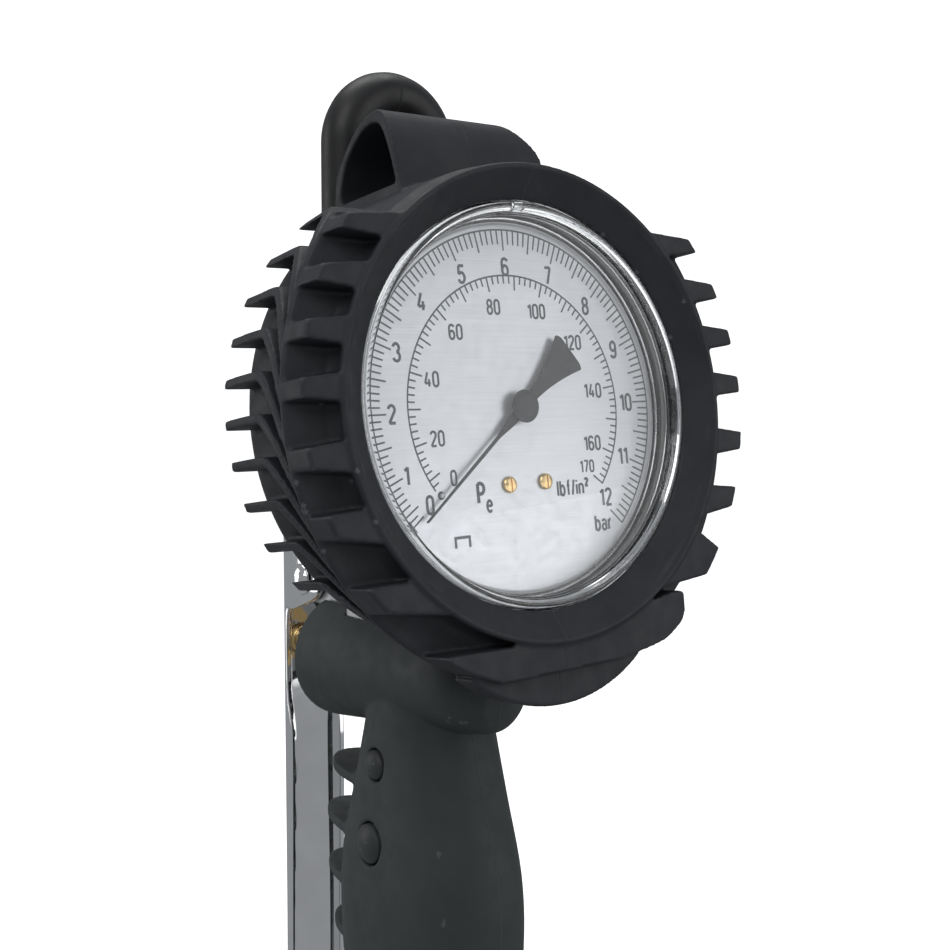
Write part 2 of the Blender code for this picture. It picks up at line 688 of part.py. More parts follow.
def tube_parts(boot):
    middle = (TUBE_FRONT + TUBE_REAR) / 2
    half = (TUBE_REAR - TUBE_FRONT) / 2
    wall = 1.2
    line = arc(TUBE_MEAN_R, 254.3, -18.0, 24)
    tube = wire("bourdon_tube", [(x, 0, z) for x, z in line], wall, boot, stretch=(1, half / wall, 1))
    place(tube, boot, (0, middle, 0))
    finish(tube, "brass")
    angle = math.degrees(math.atan2(TIP_POINT[1], TIP_POINT[0]))
    block = turn_points([(27.2, -1.6), (30.8, -1.6), (30.8, 1.4), (27.2, 1.4)], angle)
    tip = prism("tube_tip", block, TUBE_FRONT, TUBE_REAR, boot)
    join(tip, cylinder("tip_pin", 0.6, 6.9, 13, boot, (TIP_POINT[0], 0, TIP_POINT[1]), sides=12))
    finish(tip, "brass")
    coil = []
    turns = 2.25
    count = 22
    for index in range(count):
        share = index / (count - 1)
        angle = math.tau * turns * share
        radius = 1.6 + 3.8 * share
        coil.append((radius * math.cos(angle), 8.9, radius * math.sin(angle)))
    finish(wire("hairspring", coil, 0.2, boot), "steel")


def gauge_socket(boot):
    """Block that holds the tube, with the stem and its thread behind the case."""
    centre = (0, 0, STEM_Z)
    block = box("gauge_socket", (-7, TUBE_FRONT, -36), (7, TUBE_REAR, -18), boot)
    join(block, cylinder("stem_neck", 6.3, 18, 26, boot, centre),
         hexagon("stem_hex", 17, 24.4, 28.5, boot, centre),
         cylinder("stem_thread", STEM_THREAD_R, 27, 37, boot, centre))
    cut(block, cylinder("stem_bore", 1.5, 16, 40, boot, centre, sides=16))
    finish(block, "brass")
    ring("socket_seal", 6.9, 9.5, 28.8, 30.0, boot, "seal_rubber", centre)


# ---------------------------------------------------------------- valve body and its fittings

def head_outline():
    """Neck, shoulders and wide top of the casting, seen from the front."""
    right = [(8.0, -58.0), (8.0, -43.0), (12.0, -38.0), (12.0, -33.0), (HEAD_HALF - 2, -29.0),
             (HEAD_HALF, -26.0), (HEAD_HALF, HEAD_TOP - 4)]
    right += arc(4.0, 0, 90, 5, (HEAD_HALF - 4, HEAD_TOP - 4))
    return right + [(-x, z) for x, z in right[::-1]]


def lug_outline():
    """Ear that carries the lever, seen from the side."""
    y, z = LEVER_PIVOT[1:]
    return [(46.0, -50.0), (62.0, -50.0), (64.2, -46.4), *arc(5.5, -80, 75, 8, (y, z)),
            (58.0, -31.0), (46.0, -29.0)]


def barrel_profile(rear, gap=0.0):
    """Outline of the casting's barrel, which narrows to the front; a gap makes it larger all round."""
    sides = [(BARREL_R + gap, rear)] + [(radius + gap, depth) for radius, depth in BARREL_TAPER]
    nose = BARREL_FRONT - gap
    return [(0, rear), *sides, *([(sides[-1][0], nose)] if gap else []), (0, nose)]


def valve_body(model, boot):
    centre = (0, 0, BARREL_Z)
    stem = (0, 0, STEM_Z)
    grip = (0, HANDLE_Y, 0)
    outlet = (0, 0, OUTLET_Z)
    half_x, half_y = CORE_HALF
    body = turned("valve_body", barrel_profile(BARREL_REAR), model, centre, steps=32, closed=False)
    join(body,
         prism("casting_head", head_outline(), 32, 50, model),
         prism("casting_lug", lug_outline(), -5.3, 5.3, model, "YZ"),
         cylinder("gauge_boss", 11, 30.3, 44, boot, stem),
         cylinder("outlet_boss", 9.6, 48, 57.5, model, outlet),
         box("grip_core", (-half_x, HANDLE_Y - half_y, CORE_BOTTOM + 3),
             (half_x, HANDLE_Y + half_y, BARREL_Z), model),
         cylinder("inlet_boss", 9.6, CORE_BOTTOM, -180, model, grip, "Z"))
    cut(body,
        cylinder("barrel_bore", BARREL_BORE_R, BARREL_BORE_FRONT, 80, model, centre),
        cylinder("grip_passage", 4, -200, BARREL_Z - 1.3, model, grip, "Z", 16),
        cylinder("inlet_thread", STEM_THREAD_R + GAP, -200, -183, model, grip, "Z"),
        cylinder("head_passage", 3, BARREL_Z, OUTLET_Z + 1.2, model, (0, HOOK_Y, 0), "Z", 16),
        cylinder("gauge_thread", STEM_THREAD_R + GAP, 25, 38.5, boot, stem),
        cylinder("gauge_passage", 2, 30, 47.2, boot, stem, sides=14),
        cylinder("outlet_thread", STEM_THREAD_R + GAP, 50.6, 70, model, outlet),
        cylinder("outlet_passage", 2.6, HOOK_Y - 1.1, 60, model, outlet, sides=16),
        cylinder("pivot_hole", 2.3, -20, 20, model, LEVER_PIVOT, "X", 20),
        cylinder("hook_screw_hole", 2.3, 14, 25, model, (0, HOOK_Y, OUTLET_Z), "X", 16),
        cylinder("hook_screw_hole", 2.3, -25, -14, model, (0, HOOK_Y, OUTLET_Z), "X", 16))
    for x in (-HOOK_LEG_X, HOOK_LEG_X):
        cut(body, cylinder("hook_socket", HOOK_R + GAP, HOOK_FOOT_Z - GAP, 10, model,
                           (x, HOOK_Y, 0), "Z", 24))
    finish(body, "cast_alloy")


def hanging_hook(model):
    arch = arc(HOOK_LEG_X, 180, 0, 13, (0, HOOK_ARCH_Z))
    line = [(-HOOK_LEG_X, HOOK_FOOT_Z), *arch, (HOOK_LEG_X, HOOK_FOOT_Z)]
    finish(wire("hanging_hook", [(x, HOOK_Y, z) for x, z in line], HOOK_R, model, 4), "hook_rubber")
    for side, axis in (("left", "-X"), ("right", "X")):
        spot = (0, HOOK_Y, OUTLET_Z)
        screw = cylinder("hook_setscrew_" + side, 2.0, 16.4, 18.8, model, spot, axis, 16)
        cut(screw, hexagon("setscrew_socket", 2.0, 17.6, 20, model, spot, axis))
        finish(screw, "steel")


def port_fitting(name, face, parent, centre, axis, seat):
    """Hexagon with a female port and a threaded spigot; heights run from the seat to the face.

    The face is where the user's hose or coupling screws in. The seat meets the sealing ring.
    """
    way = 1 if face > seat else -1
    ends = sorted((seat, face))
    body = hexagon(name, PORT_HEX, *ends, parent, centre, axis)
    spigot = sorted((seat + way, seat - way * 7.8))
    port = sorted((seat + way * 1.4, face + way)) if abs(face - seat) < 10 else sorted(
        (seat + way * 2.5, face + way))
    through = sorted((face, seat - way * 9))
    join(body, cylinder(name + "_spigot", STEM_THREAD_R, *spigot, parent, centre, axis))
    cut(body, cylinder(name + "_port", PORT_R, *port, parent, centre, axis),
        cylinder(name + "_way", 3.0, *through, parent, centre, axis, 16))
    return body


def fittings(model):
    grip = (0, HANDLE_Y, 0)
    outlet = (0, 0, OUTLET_Z)
    inlet_seat = -193.5
    outlet_seat = 59.4
    finish(port_fitting("inlet_fitting", INLET_FACE, model, grip, "Z", inlet_seat), "brass")
    finish(port_fitting("outlet_fitting", OUTLET_FACE, model, outlet, "Y", outlet_seat), "brass")
    ring("inlet_seal", 6.9, 9.2, inlet_seat + GAP, CORE_BOTTOM - GAP, model, "seal_rubber", grip, "Z")
    ring("outlet_seal", 6.9, 9.2, 57.8, outlet_seat - GAP, model, "seal_rubber", outlet)
    finish(cylinder("inlet_filter", 5.4, -198.0, -196.3, model, grip, "Z", 24), "bronze_filter")


# ---------------------------------------------------------------- valve

def valve(model, plunger_axis):
    centre = (0, 0, BARREL_Z)
    profile = [(0, 64.9), (7.8, 64.9), (7.8, 63.8), (6.7, 63.8), (6.7, 50.0), (5.6, 49.4), (5.6, 40.6),
               (6.7, 40.0), (6.7, 36.0), (0, 36.0)]
    cartridge = turned("valve_cartridge", profile, model, centre, steps=24, closed=False)
    join(cartridge, hexagon("cartridge_cap", CAP_HEX, 64.1, CAP_FACE, model, centre))
    cut(cartridge,
        cylinder("cartridge_bore", 4.7, 30, 58.5, model, centre, sides=24),
        cylinder("cartridge_stem_bore", 2.7, 50, 70, model, centre, sides=24),
        cylinder("cartridge_port", 1.8, -60, 60, model, (0, 45, BARREL_Z), "X", 12))
    finish(cartridge, "brass")
    ring("plunger_seal", 2.7, 4.4, 56.2, 58.2, model, "seal_rubber", centre)
    stem = [(0, 78.2), (1.5, 78.1), (3.0, 77.75), (4.0, 77.0), (4.0, BUTTON_BACK),
            (2.4, BUTTON_BACK), (2.4, 36.0),
            (1.6, 36.0), (1.6, 32.2), (2.8, 32.2), (2.8, 31.0), (0, 31.0)]
    finish(turned("valve_plunger", stem, plunger_axis, steps=18, closed=False), "brass")
    ring("valve_disc", 1.9, 5.5, 32.5, 35.7, plunger_axis, "seal_rubber", steps=24)


def valve_spring(model):
    """Return spring between the cartridge's cap and the button."""
    turns = 4.0
    steps = 30
    wire_r = 0.3
    start = CAP_FACE + GAP + wire_r
    length = BUTTON_BACK - CAP_FACE - 2 * (GAP + wire_r)
    coil = []
    for index in range(steps + 1):
        share = index / steps
        angle = math.tau * turns * share
        coil.append((3.4 * math.cos(angle), start + length * share, BARREL_Z + 3.4 * math.sin(angle)))
    finish(wire("valve_spring", coil, wire_r, model), "steel")


# ---------------------------------------------------------------- grip

def grip_sleeve(model):
    rings = [[(x, depth, height + z) for x, z in superellipse(half_x, half_z, 2.0, 32)]
             for depth, height, half_x, half_z in SLEEVE_SECTIONS]
    sleeve = loft("grip_sleeve", rings, model)
    sections = [[(x, HANDLE_Y + y, z) for x, y in superellipse(half_x, half_y, HANDLE_POWER, 24)]
                for z, half_x, half_y in HANDLE_SECTIONS]
    join(sleeve, loft("grip_handle", sections, model), solver="MANIFOLD")
    for index, tip in enumerate(RIB_TIPS):
        height = RIB_TOP - index * RIB_PITCH
        plan = [(x * RIB_HALF, RIB_ROOT + y * (tip - RIB_ROOT)) for x, y in arc(1.0, 0, 180, 9)]
        rib = prism("grip_rib", plan, height - RIB_THICK / 2, height + RIB_THICK / 2, model, "XY")
        join(sleeve, rib, solver="MANIFOLD")
    half_x, half_y = (half + GAP for half in CORE_HALF)
    cut(sleeve,
        turned("sleeve_barrel_void", barrel_profile(80, GAP), model, (0, 0, BARREL_Z), steps=32,
               closed=False),
        box("sleeve_core_void", (-half_x, HANDLE_Y - half_y, -210), (half_x, HANDLE_Y + half_y, BARREL_Z),
            model),
        cylinder("sleeve_boss_void", 9.9, -210, -179.7, model, (0, HANDLE_Y, 0), "Z"),
        box("sleeve_neck_slot", (-8.3, 31.7, BARREL_Z), (8.3, 50.3, -38), model),
        box("sleeve_lug_slot", (-5.7, 46, BARREL_Z), (5.7, 80, -38), model),
        solver="MANIFOLD")
    for height, radius, _ in PLUGS.values():
        hole = cylinder("plug_hole", radius + GAP, -30, 30, model, (0, PLUG_Y, height), "X", 20)
        cut(sleeve, hole, solver="MANIFOLD")
    finish(sleeve, "grip_rubber")


def grip_plugs(model):
    for level, (height, radius, face) in PLUGS.items():
        dome = [(0, face + 1.5), (radius * 0.5, face + 1.25), (radius * 0.85, face + 0.6),
                (radius, face), (radius, 8.7), (0, 8.7)]
        for side, axis in (("left", "-X"), ("right", "X")):
            plug = turned("grip_plug_" + level + "_" + side, dome, model, (0, PLUG_Y, height), axis,
                          20, False)
            finish(plug, "plug_rubber")


# ---------------------------------------------------------------- lever

def lever_section(height, back, front):
    """Channel section, open towards the grip, with rounded corners at the web."""
    half = LEVER_HALF
    inner = LEVER_HALF - LEVER_SHEET
    web = back - LEVER_SHEET
    right = [(half, front), (half, back - 2.2), (half - 0.65, back - 0.65), (half - 2.2, back)]
    inside = [(inner - 0.7, web), (inner, web - 0.7), (inner, front)]
    outline = right + [(-x, y) for x, y in right[::-1]]
    outline += [(-x, y) for x, y in inside[::-1]] + inside
    return [(x, y, height) for x, y in outline]


def trigger_lever(lever_axis):
    _, pivot_y, pivot_z = LEVER_PIVOT
    sections = [[(x, y - pivot_y, z - pivot_z) for x, y, z in lever_section(*section)]
                for section in LEVER_SECTIONS]
    lever = loft("trigger_lever", sections, lever_axis)
    cut(lever, cylinder("lever_hole", 2.3, -20, 20, lever_axis, axis="X", sides=20))
    finish(lever, "chrome")


def lever_pin(model):
    head = [(0, 9.5), (1.6, 9.35), (3.0, 8.75), (3.75, 7.75), (3.6, 7.55), (2.0, 7.55)]
    profile = head + [(radius, -x) for radius, x in head[::-1]]
    finish(turned("lever_pin", profile, model, LEVER_PIVOT, "X", 20, False), "chrome")


# ---------------------------------------------------------------- assembly

def main():
    make_materials()
    model = frame("model_frame", None, (0, -DIAL_FORWARD, DIAL_HEIGHT))
    boot = frame("boot_frame", model, turn=Matrix.Rotation(math.radians(-GAUGE_LEAN), 4, "X"))
    dial = frame("dial_frame", boot, turn=Matrix.Rotation(math.radians(-DIAL_CLOCKING), 4, "Y"))
    sector_axis = frame("sector_axis", boot, (0, 0, -PIVOT_DROP))
    link_axis = frame("link_axis", boot, (0, 0, -PIVOT_DROP - TAIL_LENGTH))
    lever_axis = frame("lever_axis", model, LEVER_PIVOT)
    plunger_axis = frame("plunger_axis", model, (0, 0, BARREL_Z))
    gauge_boot(model, boot)
    gauge_case(boot)
    gauge_lens(dial)
    ring("lens_gasket", 36.5, 38.5, -2.1, -0.6, boot, "seal_rubber", steps=32)
    dial_plate(dial)
    pointer(dial)
    movement(boot)
    sector_gear(sector_axis)
    tube_link(link_axis)
    tube_parts(boot)
    gauge_socket(boot)
    valve_body(model, boot)
    hanging_hook(model)
    fittings(model)
    valve(model, plunger_axis)
    valve_spring(model)
    grip_sleeve(model)
    grip_plugs(model)
    trigger_lever(lever_axis)
    lever_pin(model)


clear_scene()
PARTS = new_collection("tyre_inflator_gun")
CUTTERS = new_collection("cutters")
main()
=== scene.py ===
"""Looks of the tyre inflator gun: fine surfaces, dial print, materials, light and camera over the CAD parts.

Shapes are in millimetres from the centre of the dial's face, X to the right seen from the front, Y to the
rear, Z up. The model frame is upright, the boot frame leans back with the gauge, and the dial frame is
also turned a little in its case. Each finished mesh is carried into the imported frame, in metres.
"""
import json
import math

import bmesh
import bpy
from mathutils import Matrix, Vector


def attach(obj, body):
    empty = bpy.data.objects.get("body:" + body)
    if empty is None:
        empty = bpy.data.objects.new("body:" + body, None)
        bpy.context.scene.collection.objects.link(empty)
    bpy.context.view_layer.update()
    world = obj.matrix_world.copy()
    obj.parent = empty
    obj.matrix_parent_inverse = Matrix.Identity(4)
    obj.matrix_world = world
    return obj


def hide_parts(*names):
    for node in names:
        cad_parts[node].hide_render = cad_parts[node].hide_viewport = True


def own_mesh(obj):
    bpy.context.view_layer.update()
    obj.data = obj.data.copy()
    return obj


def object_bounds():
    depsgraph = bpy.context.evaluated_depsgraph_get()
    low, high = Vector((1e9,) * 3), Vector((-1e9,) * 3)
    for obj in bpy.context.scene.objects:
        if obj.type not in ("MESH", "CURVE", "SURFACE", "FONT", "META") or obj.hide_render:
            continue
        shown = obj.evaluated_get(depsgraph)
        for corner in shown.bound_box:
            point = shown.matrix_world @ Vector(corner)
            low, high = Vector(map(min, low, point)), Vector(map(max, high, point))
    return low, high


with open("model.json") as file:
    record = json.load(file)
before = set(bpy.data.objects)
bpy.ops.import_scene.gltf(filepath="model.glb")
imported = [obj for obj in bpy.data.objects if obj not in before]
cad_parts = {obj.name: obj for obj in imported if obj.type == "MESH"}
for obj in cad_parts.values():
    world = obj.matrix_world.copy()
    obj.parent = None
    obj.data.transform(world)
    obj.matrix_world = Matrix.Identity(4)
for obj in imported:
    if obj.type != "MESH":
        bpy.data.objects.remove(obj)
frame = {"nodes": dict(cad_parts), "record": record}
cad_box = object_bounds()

MM = 0.001
RECORD = frame["record"]
JOINTS = {joint["name"]: joint for joint in RECORD["behaviour"]["joints"]}
BODY_OF = {node: body for body, nodes in RECORD["behaviour"]["bodies"].items() for node in nodes}

# Frames, from the gauge's and the lever's own axes
DIAL_CENTRE = Vector(JOINTS["pointer_turn"]["pos_m"])
GAUGE_LEAN = math.atan2(JOINTS["pointer_turn"]["axis"][2], JOINTS["pointer_turn"]["axis"][1])
DIAL_CLOCKING = math.radians(-1.4)
MODEL = Matrix.Translation(DIAL_CENTRE) @ Matrix.Scale(MM, 4)
BOOT = MODEL @ Matrix.Rotation(GAUGE_LEAN, 4, "X")
DIAL = BOOT @ Matrix.Rotation(DIAL_CLOCKING, 4, "Y")
LEVER_PIVOT = MODEL.inverted() @ Vector(JOINTS["lever_squeeze"]["pos_m"])

GAP = 0.3
STAGE_R = 25.0                 # metres
FACE_SHARE = 0.45              # of a moulded mesh's faces that stay
ROUND = 192                    # steps round a large turned shape

# Gauge
CASE_R = 40.0
DIAL_R = 35.8
LENS_R = 38.2
STEM_Z = -26.0
POINTER_REST = 219.0
NEEDLE_LENGTH = 32.0
TAIL_SPAN = 16.6
SCREW_SPOTS = {"left": (-4.45, -14.7), "right": (4.45, -14.7)}
STOP_SPOT = (-20.4, -15.5)

# Dial print
ZERO_ANGLE = 225.0
BAR_ANGLE = 22.5               # turn for one bar
PSI_ANGLE = 22.5 / 14.5038
BAR_CIRCLE = 34.35
PSI_CIRCLE = 25.55
BAR_TICKS = (3.85, 2.65)       # lengths, long and short
PSI_TICKS = (2.65, 1.4)
BAR_NUMBERS_R = 28.4
BAR_NUMBER_RADII = {0: 28.2, 1: 29.4, 2: 29.1, 3: 29.1, 4: 28.8, 5: 27.7, 6: 27.2, 7: 27.8, 8: 27.9, 12: 27.8}
BAR_NUMBER_ANGLES = {0: 216.8, 12: -42.5}
BAR_SIGN = (3.75, 0.56)        # height and pen
PSI_NUMBERS_R = 19.8
PSI_NUMBER_RADII = {0: 20.8, 20: 20.2, 40: 20.6, 170: 20.4}
PSI_NUMBER_ANGLES = {0: 216.4, 170: -37.2}
PSI_SIGN = (3.1, 0.45)
PSI_LAST_SIGN = (2.6, 0.38)
LINE = 0.33
PRINT_FRONT = -0.03
PRINT_BACK = -0.004
PRINT_SHIFT = (-0.5, -0.15)    # of the whole print, against the needle's axis
LETTER_GAP = 0.24              # between strokes of neighbouring signs, as a share of their height

# Boot
BOOT_R = 45.5
RIM_R = 52.6
RIM_TOP = 34.6
TOOTH_ROOT_R = 43.0
TOOTH_R = 52.4
TOOTH_FRONT = -9.3
TOOTH_BACK = -1.9
TOOTH_EDGES = [                # top and bottom edge height, at the root and at the tip
    (34.0, 28.8, 33.0, 30.2),
    (25.1, 19.7, 24.0, 20.95),
    (15.6, 10.2, 14.6, 11.35),
    (6.0, 0.6, 4.85, 1.45),
    (-5.5, -11.5, -6.8, -10.45),
    (-17.2, -24.0, -18.1, -22.2),
    (-30.1, -37.5, -30.75, -35.5),
]
TOOTH_LAST_RIGHT = (-24.9, -37.5, -30.3, -35.5)
UPPER_LIP_EDGES = (-44.05, -50.3)
UPPER_LIP_RIGHT = [(22.0, -39.3), (30.9, -37.9), (31.8, -41.0), (31.1, -43.5), (28.0, -46.0),
                   (24.4, -47.5), (15.3, -49.3)]
UPPER_LIP_ROOT = [(-8.0, -44.05), (7.0, -43.6), (16.0, -41.2)]
UPPER_LIP_FRONT = -9.0
LOWER_LIP_R = 33.5
LOWER_LIP_Z = -22.9
LOWER_LIP_TOP = -49.0
LOWER_LIP_FRONT = -6.8
FIN_THICK = 1.8
FIN_TOP = 37.0
FIN_PITCH = 7.52
FIN_COUNT = 10
FIN_LINE = [(21.0, 0.0), (9.0, 0.2), (6.6, -0.7), (4.4, -3.0), (2.4, -5.8), (0.2, -10.4), (-2.6, -17.0)]
TUNNEL_HALF = 18.5
TUNNEL_OUTER = [(6.3, 40.0), (8.0, 45.7), (9.6, 54.3), (13.2, 59.1), (21.0, 57.3), (28.7, 50.6),
                (30.6, 45.4), (31.0, 40.9)]
TUNNEL_INNER = [(8.7, 43.9), (10.2, 50.0), (12.2, 55.0), (14.6, 56.8), (19.3, 56.2), (25.3, 51.9),
                (28.2, 46.5), (28.5, 43.9)]
TUNNEL_CORNER = [(9.6, 59.6), (13.3, 57.6), (17.4, 53.3), (18.6, 49.0)]

# Valve body, grip and lever
BARREL_Z = -57.5
BARREL_R = 11.5
BARREL_FRONT = 16.0
BARREL_TAPER = [(11.5, 58.0), (10.4, 42.0), (8.2, 24.0), (7.2, BARREL_FRONT)]
CAP_FACE = 65.6
BUTTON_BACK = 74.0
SLEEVE_R = 14.2
SLEEVE_SECTIONS = [            # depth, centre height, half width, half height
    (62.5, -57.5, 12.4, 12.4),
    (61.9, -57.5, 13.7, 13.7),
    (60.7, -57.5, SLEEVE_R, SLEEVE_R),
    (45.0, -56.6, 13.5, 13.2),
    (30.0, -55.65, 13.0, 12.35),
    (20.0, -55.05, 12.6, 11.75),
    (14.0, -54.8, 12.2, 11.3),
    (10.0, -55.4, 11.0, 10.2),
    (7.6, -56.8, 8.8, 8.3),
    (6.4, -58.4, 6.4, 6.2),
    (5.6, -60.0, 3.8, 3.8),
]
HANDLE_Y = 29.5
CORE_HALF = (8.0, 10.0)
HANDLE_SECTIONS = [            # height, half width, half depth
    (-60.0, 11.8, 13.0),
    (-68.0, 12.0, 15.5),
    (-81.0, 13.0, 19.5),
    (-97.0, 14.5, 24.0),
    (-112.0, 14.8, 24.6),
    (-130.0, 14.5, 21.8),
    (-150.0, 14.0, 18.6),
    (-172.0, 14.3, 17.0),
    (-186.0, 15.6, 18.6),
    (-190.0, 15.0, 18.0),
]
HANDLE_POWER = 2.3
RIB_THICK = 2.2
RIB_HALF = 10.0
RIB_TOP = -81.4
RIB_PITCH = 12.1
RIB_ROOT = 42.0
RIB_TIPS = [63.3, 66.4, 66.0, 63.0, 59.0, 54.5]
PLUGS = {"upper": (-75.0, 3.15, 12.3), "lower": (-91.5, 4.2, 13.9)}
PLUG_Y = 32.0
LEVER_HALF = 7.25
LEVER_SHEET = 1.5
LEVER_EDGE = 0.35              # softening of the section's corners
LEVER_BEND = 1.75              # outer radius between web and cheek
LEVER_SECTIONS = [             # height, back of the web, front edge of the cheeks
    (-28.0, 79.2, 76.0),
    (-29.6, 80.0, 68.5),
    (-31.6, 80.0, 64.8),
    (-34.5, 80.0, 62.8),
    (-38.5, 80.0, 62.3),
    (-42.0, 80.0, 62.6),
    (-44.6, 80.0, 64.6),
    (-46.6, 80.0, 69.0),
    (-48.4, 80.0, 74.0),
    (-50.6, 80.0, 77.3),
    (-68.0, 80.0, 77.5),
    (-74.0, 80.0, 76.4),
    (-79.0, 80.0, 75.6),
    (-95.0, 80.0, 75.7),
    (-120.0, 80.0, 76.2),
    (-142.0, 80.3, 76.6),
    (-160.0, 81.2, 77.8),
    (-169.0, 82.4, 79.3),
    (-174.5, 83.6, 81.0),
]
HOOK_Y = 44.0
HOOK_LEG_X = 11.0
HOOK_R = 5.0
HOOK_ARCH_Z = 54.2
HOOK_FOOT_Z = -24.7
OUTLET_Z = -15.0
OUTLET_FACE = 68.0
OUTLET_SEAT = 59.4
INLET_FACE = -205.0
INLET_SEAT = -193.5
PORT_R = 5.72
PORT_HEX = 19.0
THREAD_DEPTH = 0.7
THREAD_PITCH = 1.337
THREAD_START = 0.4
SPIGOT_R = 6.5
SPRING_R = 3.4
SPRING_WIRE = 0.3
SPRING_TURNS = 4

TURNS = {
    "Z": Matrix.Identity(4),
    "Y": Matrix.Rotation(math.radians(-90), 4, "X"),
    "X": Matrix.Rotation(math.radians(90), 4, "Y"),
    "-X": Matrix.Rotation(math.radians(-90), 4, "Y"),
}
PLANES = {
    "XY": Matrix.Identity(4),
    "XZ": Matrix.Rotation(math.radians(90), 4, "X"),
    "YZ": Matrix(((0, 0, 1, 0), (1, 0, 0, 0), (0, 1, 0, 0), (0, 0, 0, 1))),
}
ACROSS = {"XZ": (0, 1, 0), "YZ": (1, 0, 0), "XY": (0, 0, 1)}


# ---------------------------------------------------------------- outlines

def arc(radius, start, end, count, centre=(0.0, 0.0)):
    """Points along an arc, angles in degrees, both ends included."""
    angles = [math.radians(start + (end - start) * index / (count - 1)) for index in range(count)]
    return [(centre[0] + radius * math.cos(angle), centre[1] + radius * math.sin(angle))
            for angle in angles]


def spot(radius, angle):
    return arc(radius, angle, angle + 1, 2)[0]


def turn_points(points, degrees):
    matrix = Matrix.Rotation(math.radians(degrees), 2)
    return [tuple(matrix @ Vector(point)) for point in points]


def smooth_line(points, steps):
    """A Catmull-Rom line through points, with steps pieces between each two."""
    padded = [points[0], *points, points[-1]]
    line = []
    for index in range(len(points) - 1):
        a, b, c, d = (Vector(point) for point in padded[index:index + 4])
        for step in range(steps):
            t = step / steps
            line.append(tuple(0.5 * (2 * b + (c - a) * t + (2 * a - 5 * b + 4 * c - d) * t ** 2
                                     + (3 * b - a - 3 * c + d) * t ** 3)))
    line.append(tuple(points[-1]))
    return line


def ribbon(points, thickness):
    """Outline of a strip of even thickness along a line of points."""
    left = []
    right = []
    for index, point in enumerate(points):
        before = Vector(points[max(index - 1, 0)])
        after = Vector(points[min(index + 1, len(points) - 1)])
        run = (after - before).normalized()
        side = Vector((-run.y, run.x)) * thickness / 2
        left.append(tuple(Vector(point) + side))
        right.append(tuple(Vector(point) - side))
    return left + right[::-1]


def rounded(points, radius, steps=4, closed=False):
    """The outline with each corner softened; ends of an open outline stay."""
    line = []
    count = len(points)
    for index, point in enumerate(points):
        if not closed and index in (0, count - 1):
            line.append(point)
            continue
        here = Vector(point)
        before = Vector(points[index - 1])
        after = Vector(points[(index + 1) % count])
        reach = min(radius, (before - here).length * 0.45, (after - here).length * 0.45)
        start = here + (before - here).normalized() * reach
        end = here + (after - here).normalized() * reach
        for step in range(steps + 1):
            t = step / steps
            line.append(tuple(start * (1 - t) ** 2 + here * 2 * t * (1 - t) + end * t ** 2))
    return line


def superellipse(half_x, half_y, power, count):
    points = []
    for index in range(count):
        angle = math.tau * index / count
        cosine = math.cos(angle)
        sine = math.sin(angle)
        points.append((math.copysign(abs(cosine) ** (2 / power), cosine) * half_x,
                       math.copysign(abs(sine) ** (2 / power), sine) * half_y))
    return points


# ---------------------------------------------------------------- meshes, in millimetres

def to_mesh(bm):
    bmesh.ops.recalc_face_normals(bm, faces=bm.faces)
    mesh = bpy.data.meshes.new("shape")
    bm.to_mesh(mesh)
    bm.free()
    return mesh


def evaluated(obj):
    """The mesh that an object's modifiers make; the object is removed."""
    graph = bpy.context.evaluated_depsgraph_get()
    mesh = bpy.data.meshes.new_from_object(obj.evaluated_get(graph))
    bpy.data.objects.remove(obj, do_unlink=True)
    return mesh


def holder(data):
    obj = bpy.data.objects.new("work", data)
    bpy.context.scene.collection.objects.link(obj)
    return obj


def lathe(profile, axis="Y", centre=(0, 0, 0), steps=ROUND, closed=False, turn=0.0):
    """A turned mesh; the profile holds (radius, height along the axis)."""
    bm = bmesh.new()
    verts = [bm.verts.new((radius, 0.0, height)) for radius, height in profile]
    pairs = list(zip(verts, verts[1:])) + ([(verts[-1], verts[0])] if closed else [])
    edges = [bm.edges.new(pair) for pair in pairs]
    bmesh.ops.spin(bm, geom=verts + edges, cent=(0, 0, 0), axis=(0, 0, 1), angle=math.tau, steps=steps)
    bmesh.ops.remove_doubles(bm, verts=bm.verts, dist=0.0005)
    mesh = to_mesh(bm)
    mesh.transform(Matrix.Translation(centre) @ TURNS[axis] @ Matrix.Rotation(math.radians(turn), 4, "Z"))
    return mesh


def cylinder(radius, low, high, axis="Y", centre=(0, 0, 0), steps=64):
    return lathe([(0, high), (radius, high), (radius, low), (0, low)], axis, centre, steps)


def box(low, high):
    bm = bmesh.new()
    bmesh.ops.create_cube(bm, size=1.0)
    mesh = to_mesh(bm)
    size = Vector(high) - Vector(low)
    mesh.transform(Matrix.Translation((Vector(high) + Vector(low)) / 2) @ Matrix.Diagonal((*size, 1)))
    return mesh


def weld(mesh, distance=0.002):
    bm = bmesh.new()
    bm.from_mesh(mesh)
    bmesh.ops.remove_doubles(bm, verts=bm.verts, dist=distance)
    bmesh.ops.recalc_face_normals(bm, faces=bm.faces)
    bm.to_mesh(mesh)
    bm.free()
    return mesh


def add_spline(curve, points, cyclic):
    spline = curve.splines.new("POLY")
    spline.points.add(len(points) - 1)
    for target, point in zip(spline.points, points):
        target.co = (*point, 0.0, 1.0) if len(point) == 2 else (*point, 1.0)
    spline.use_cyclic_u = cyclic


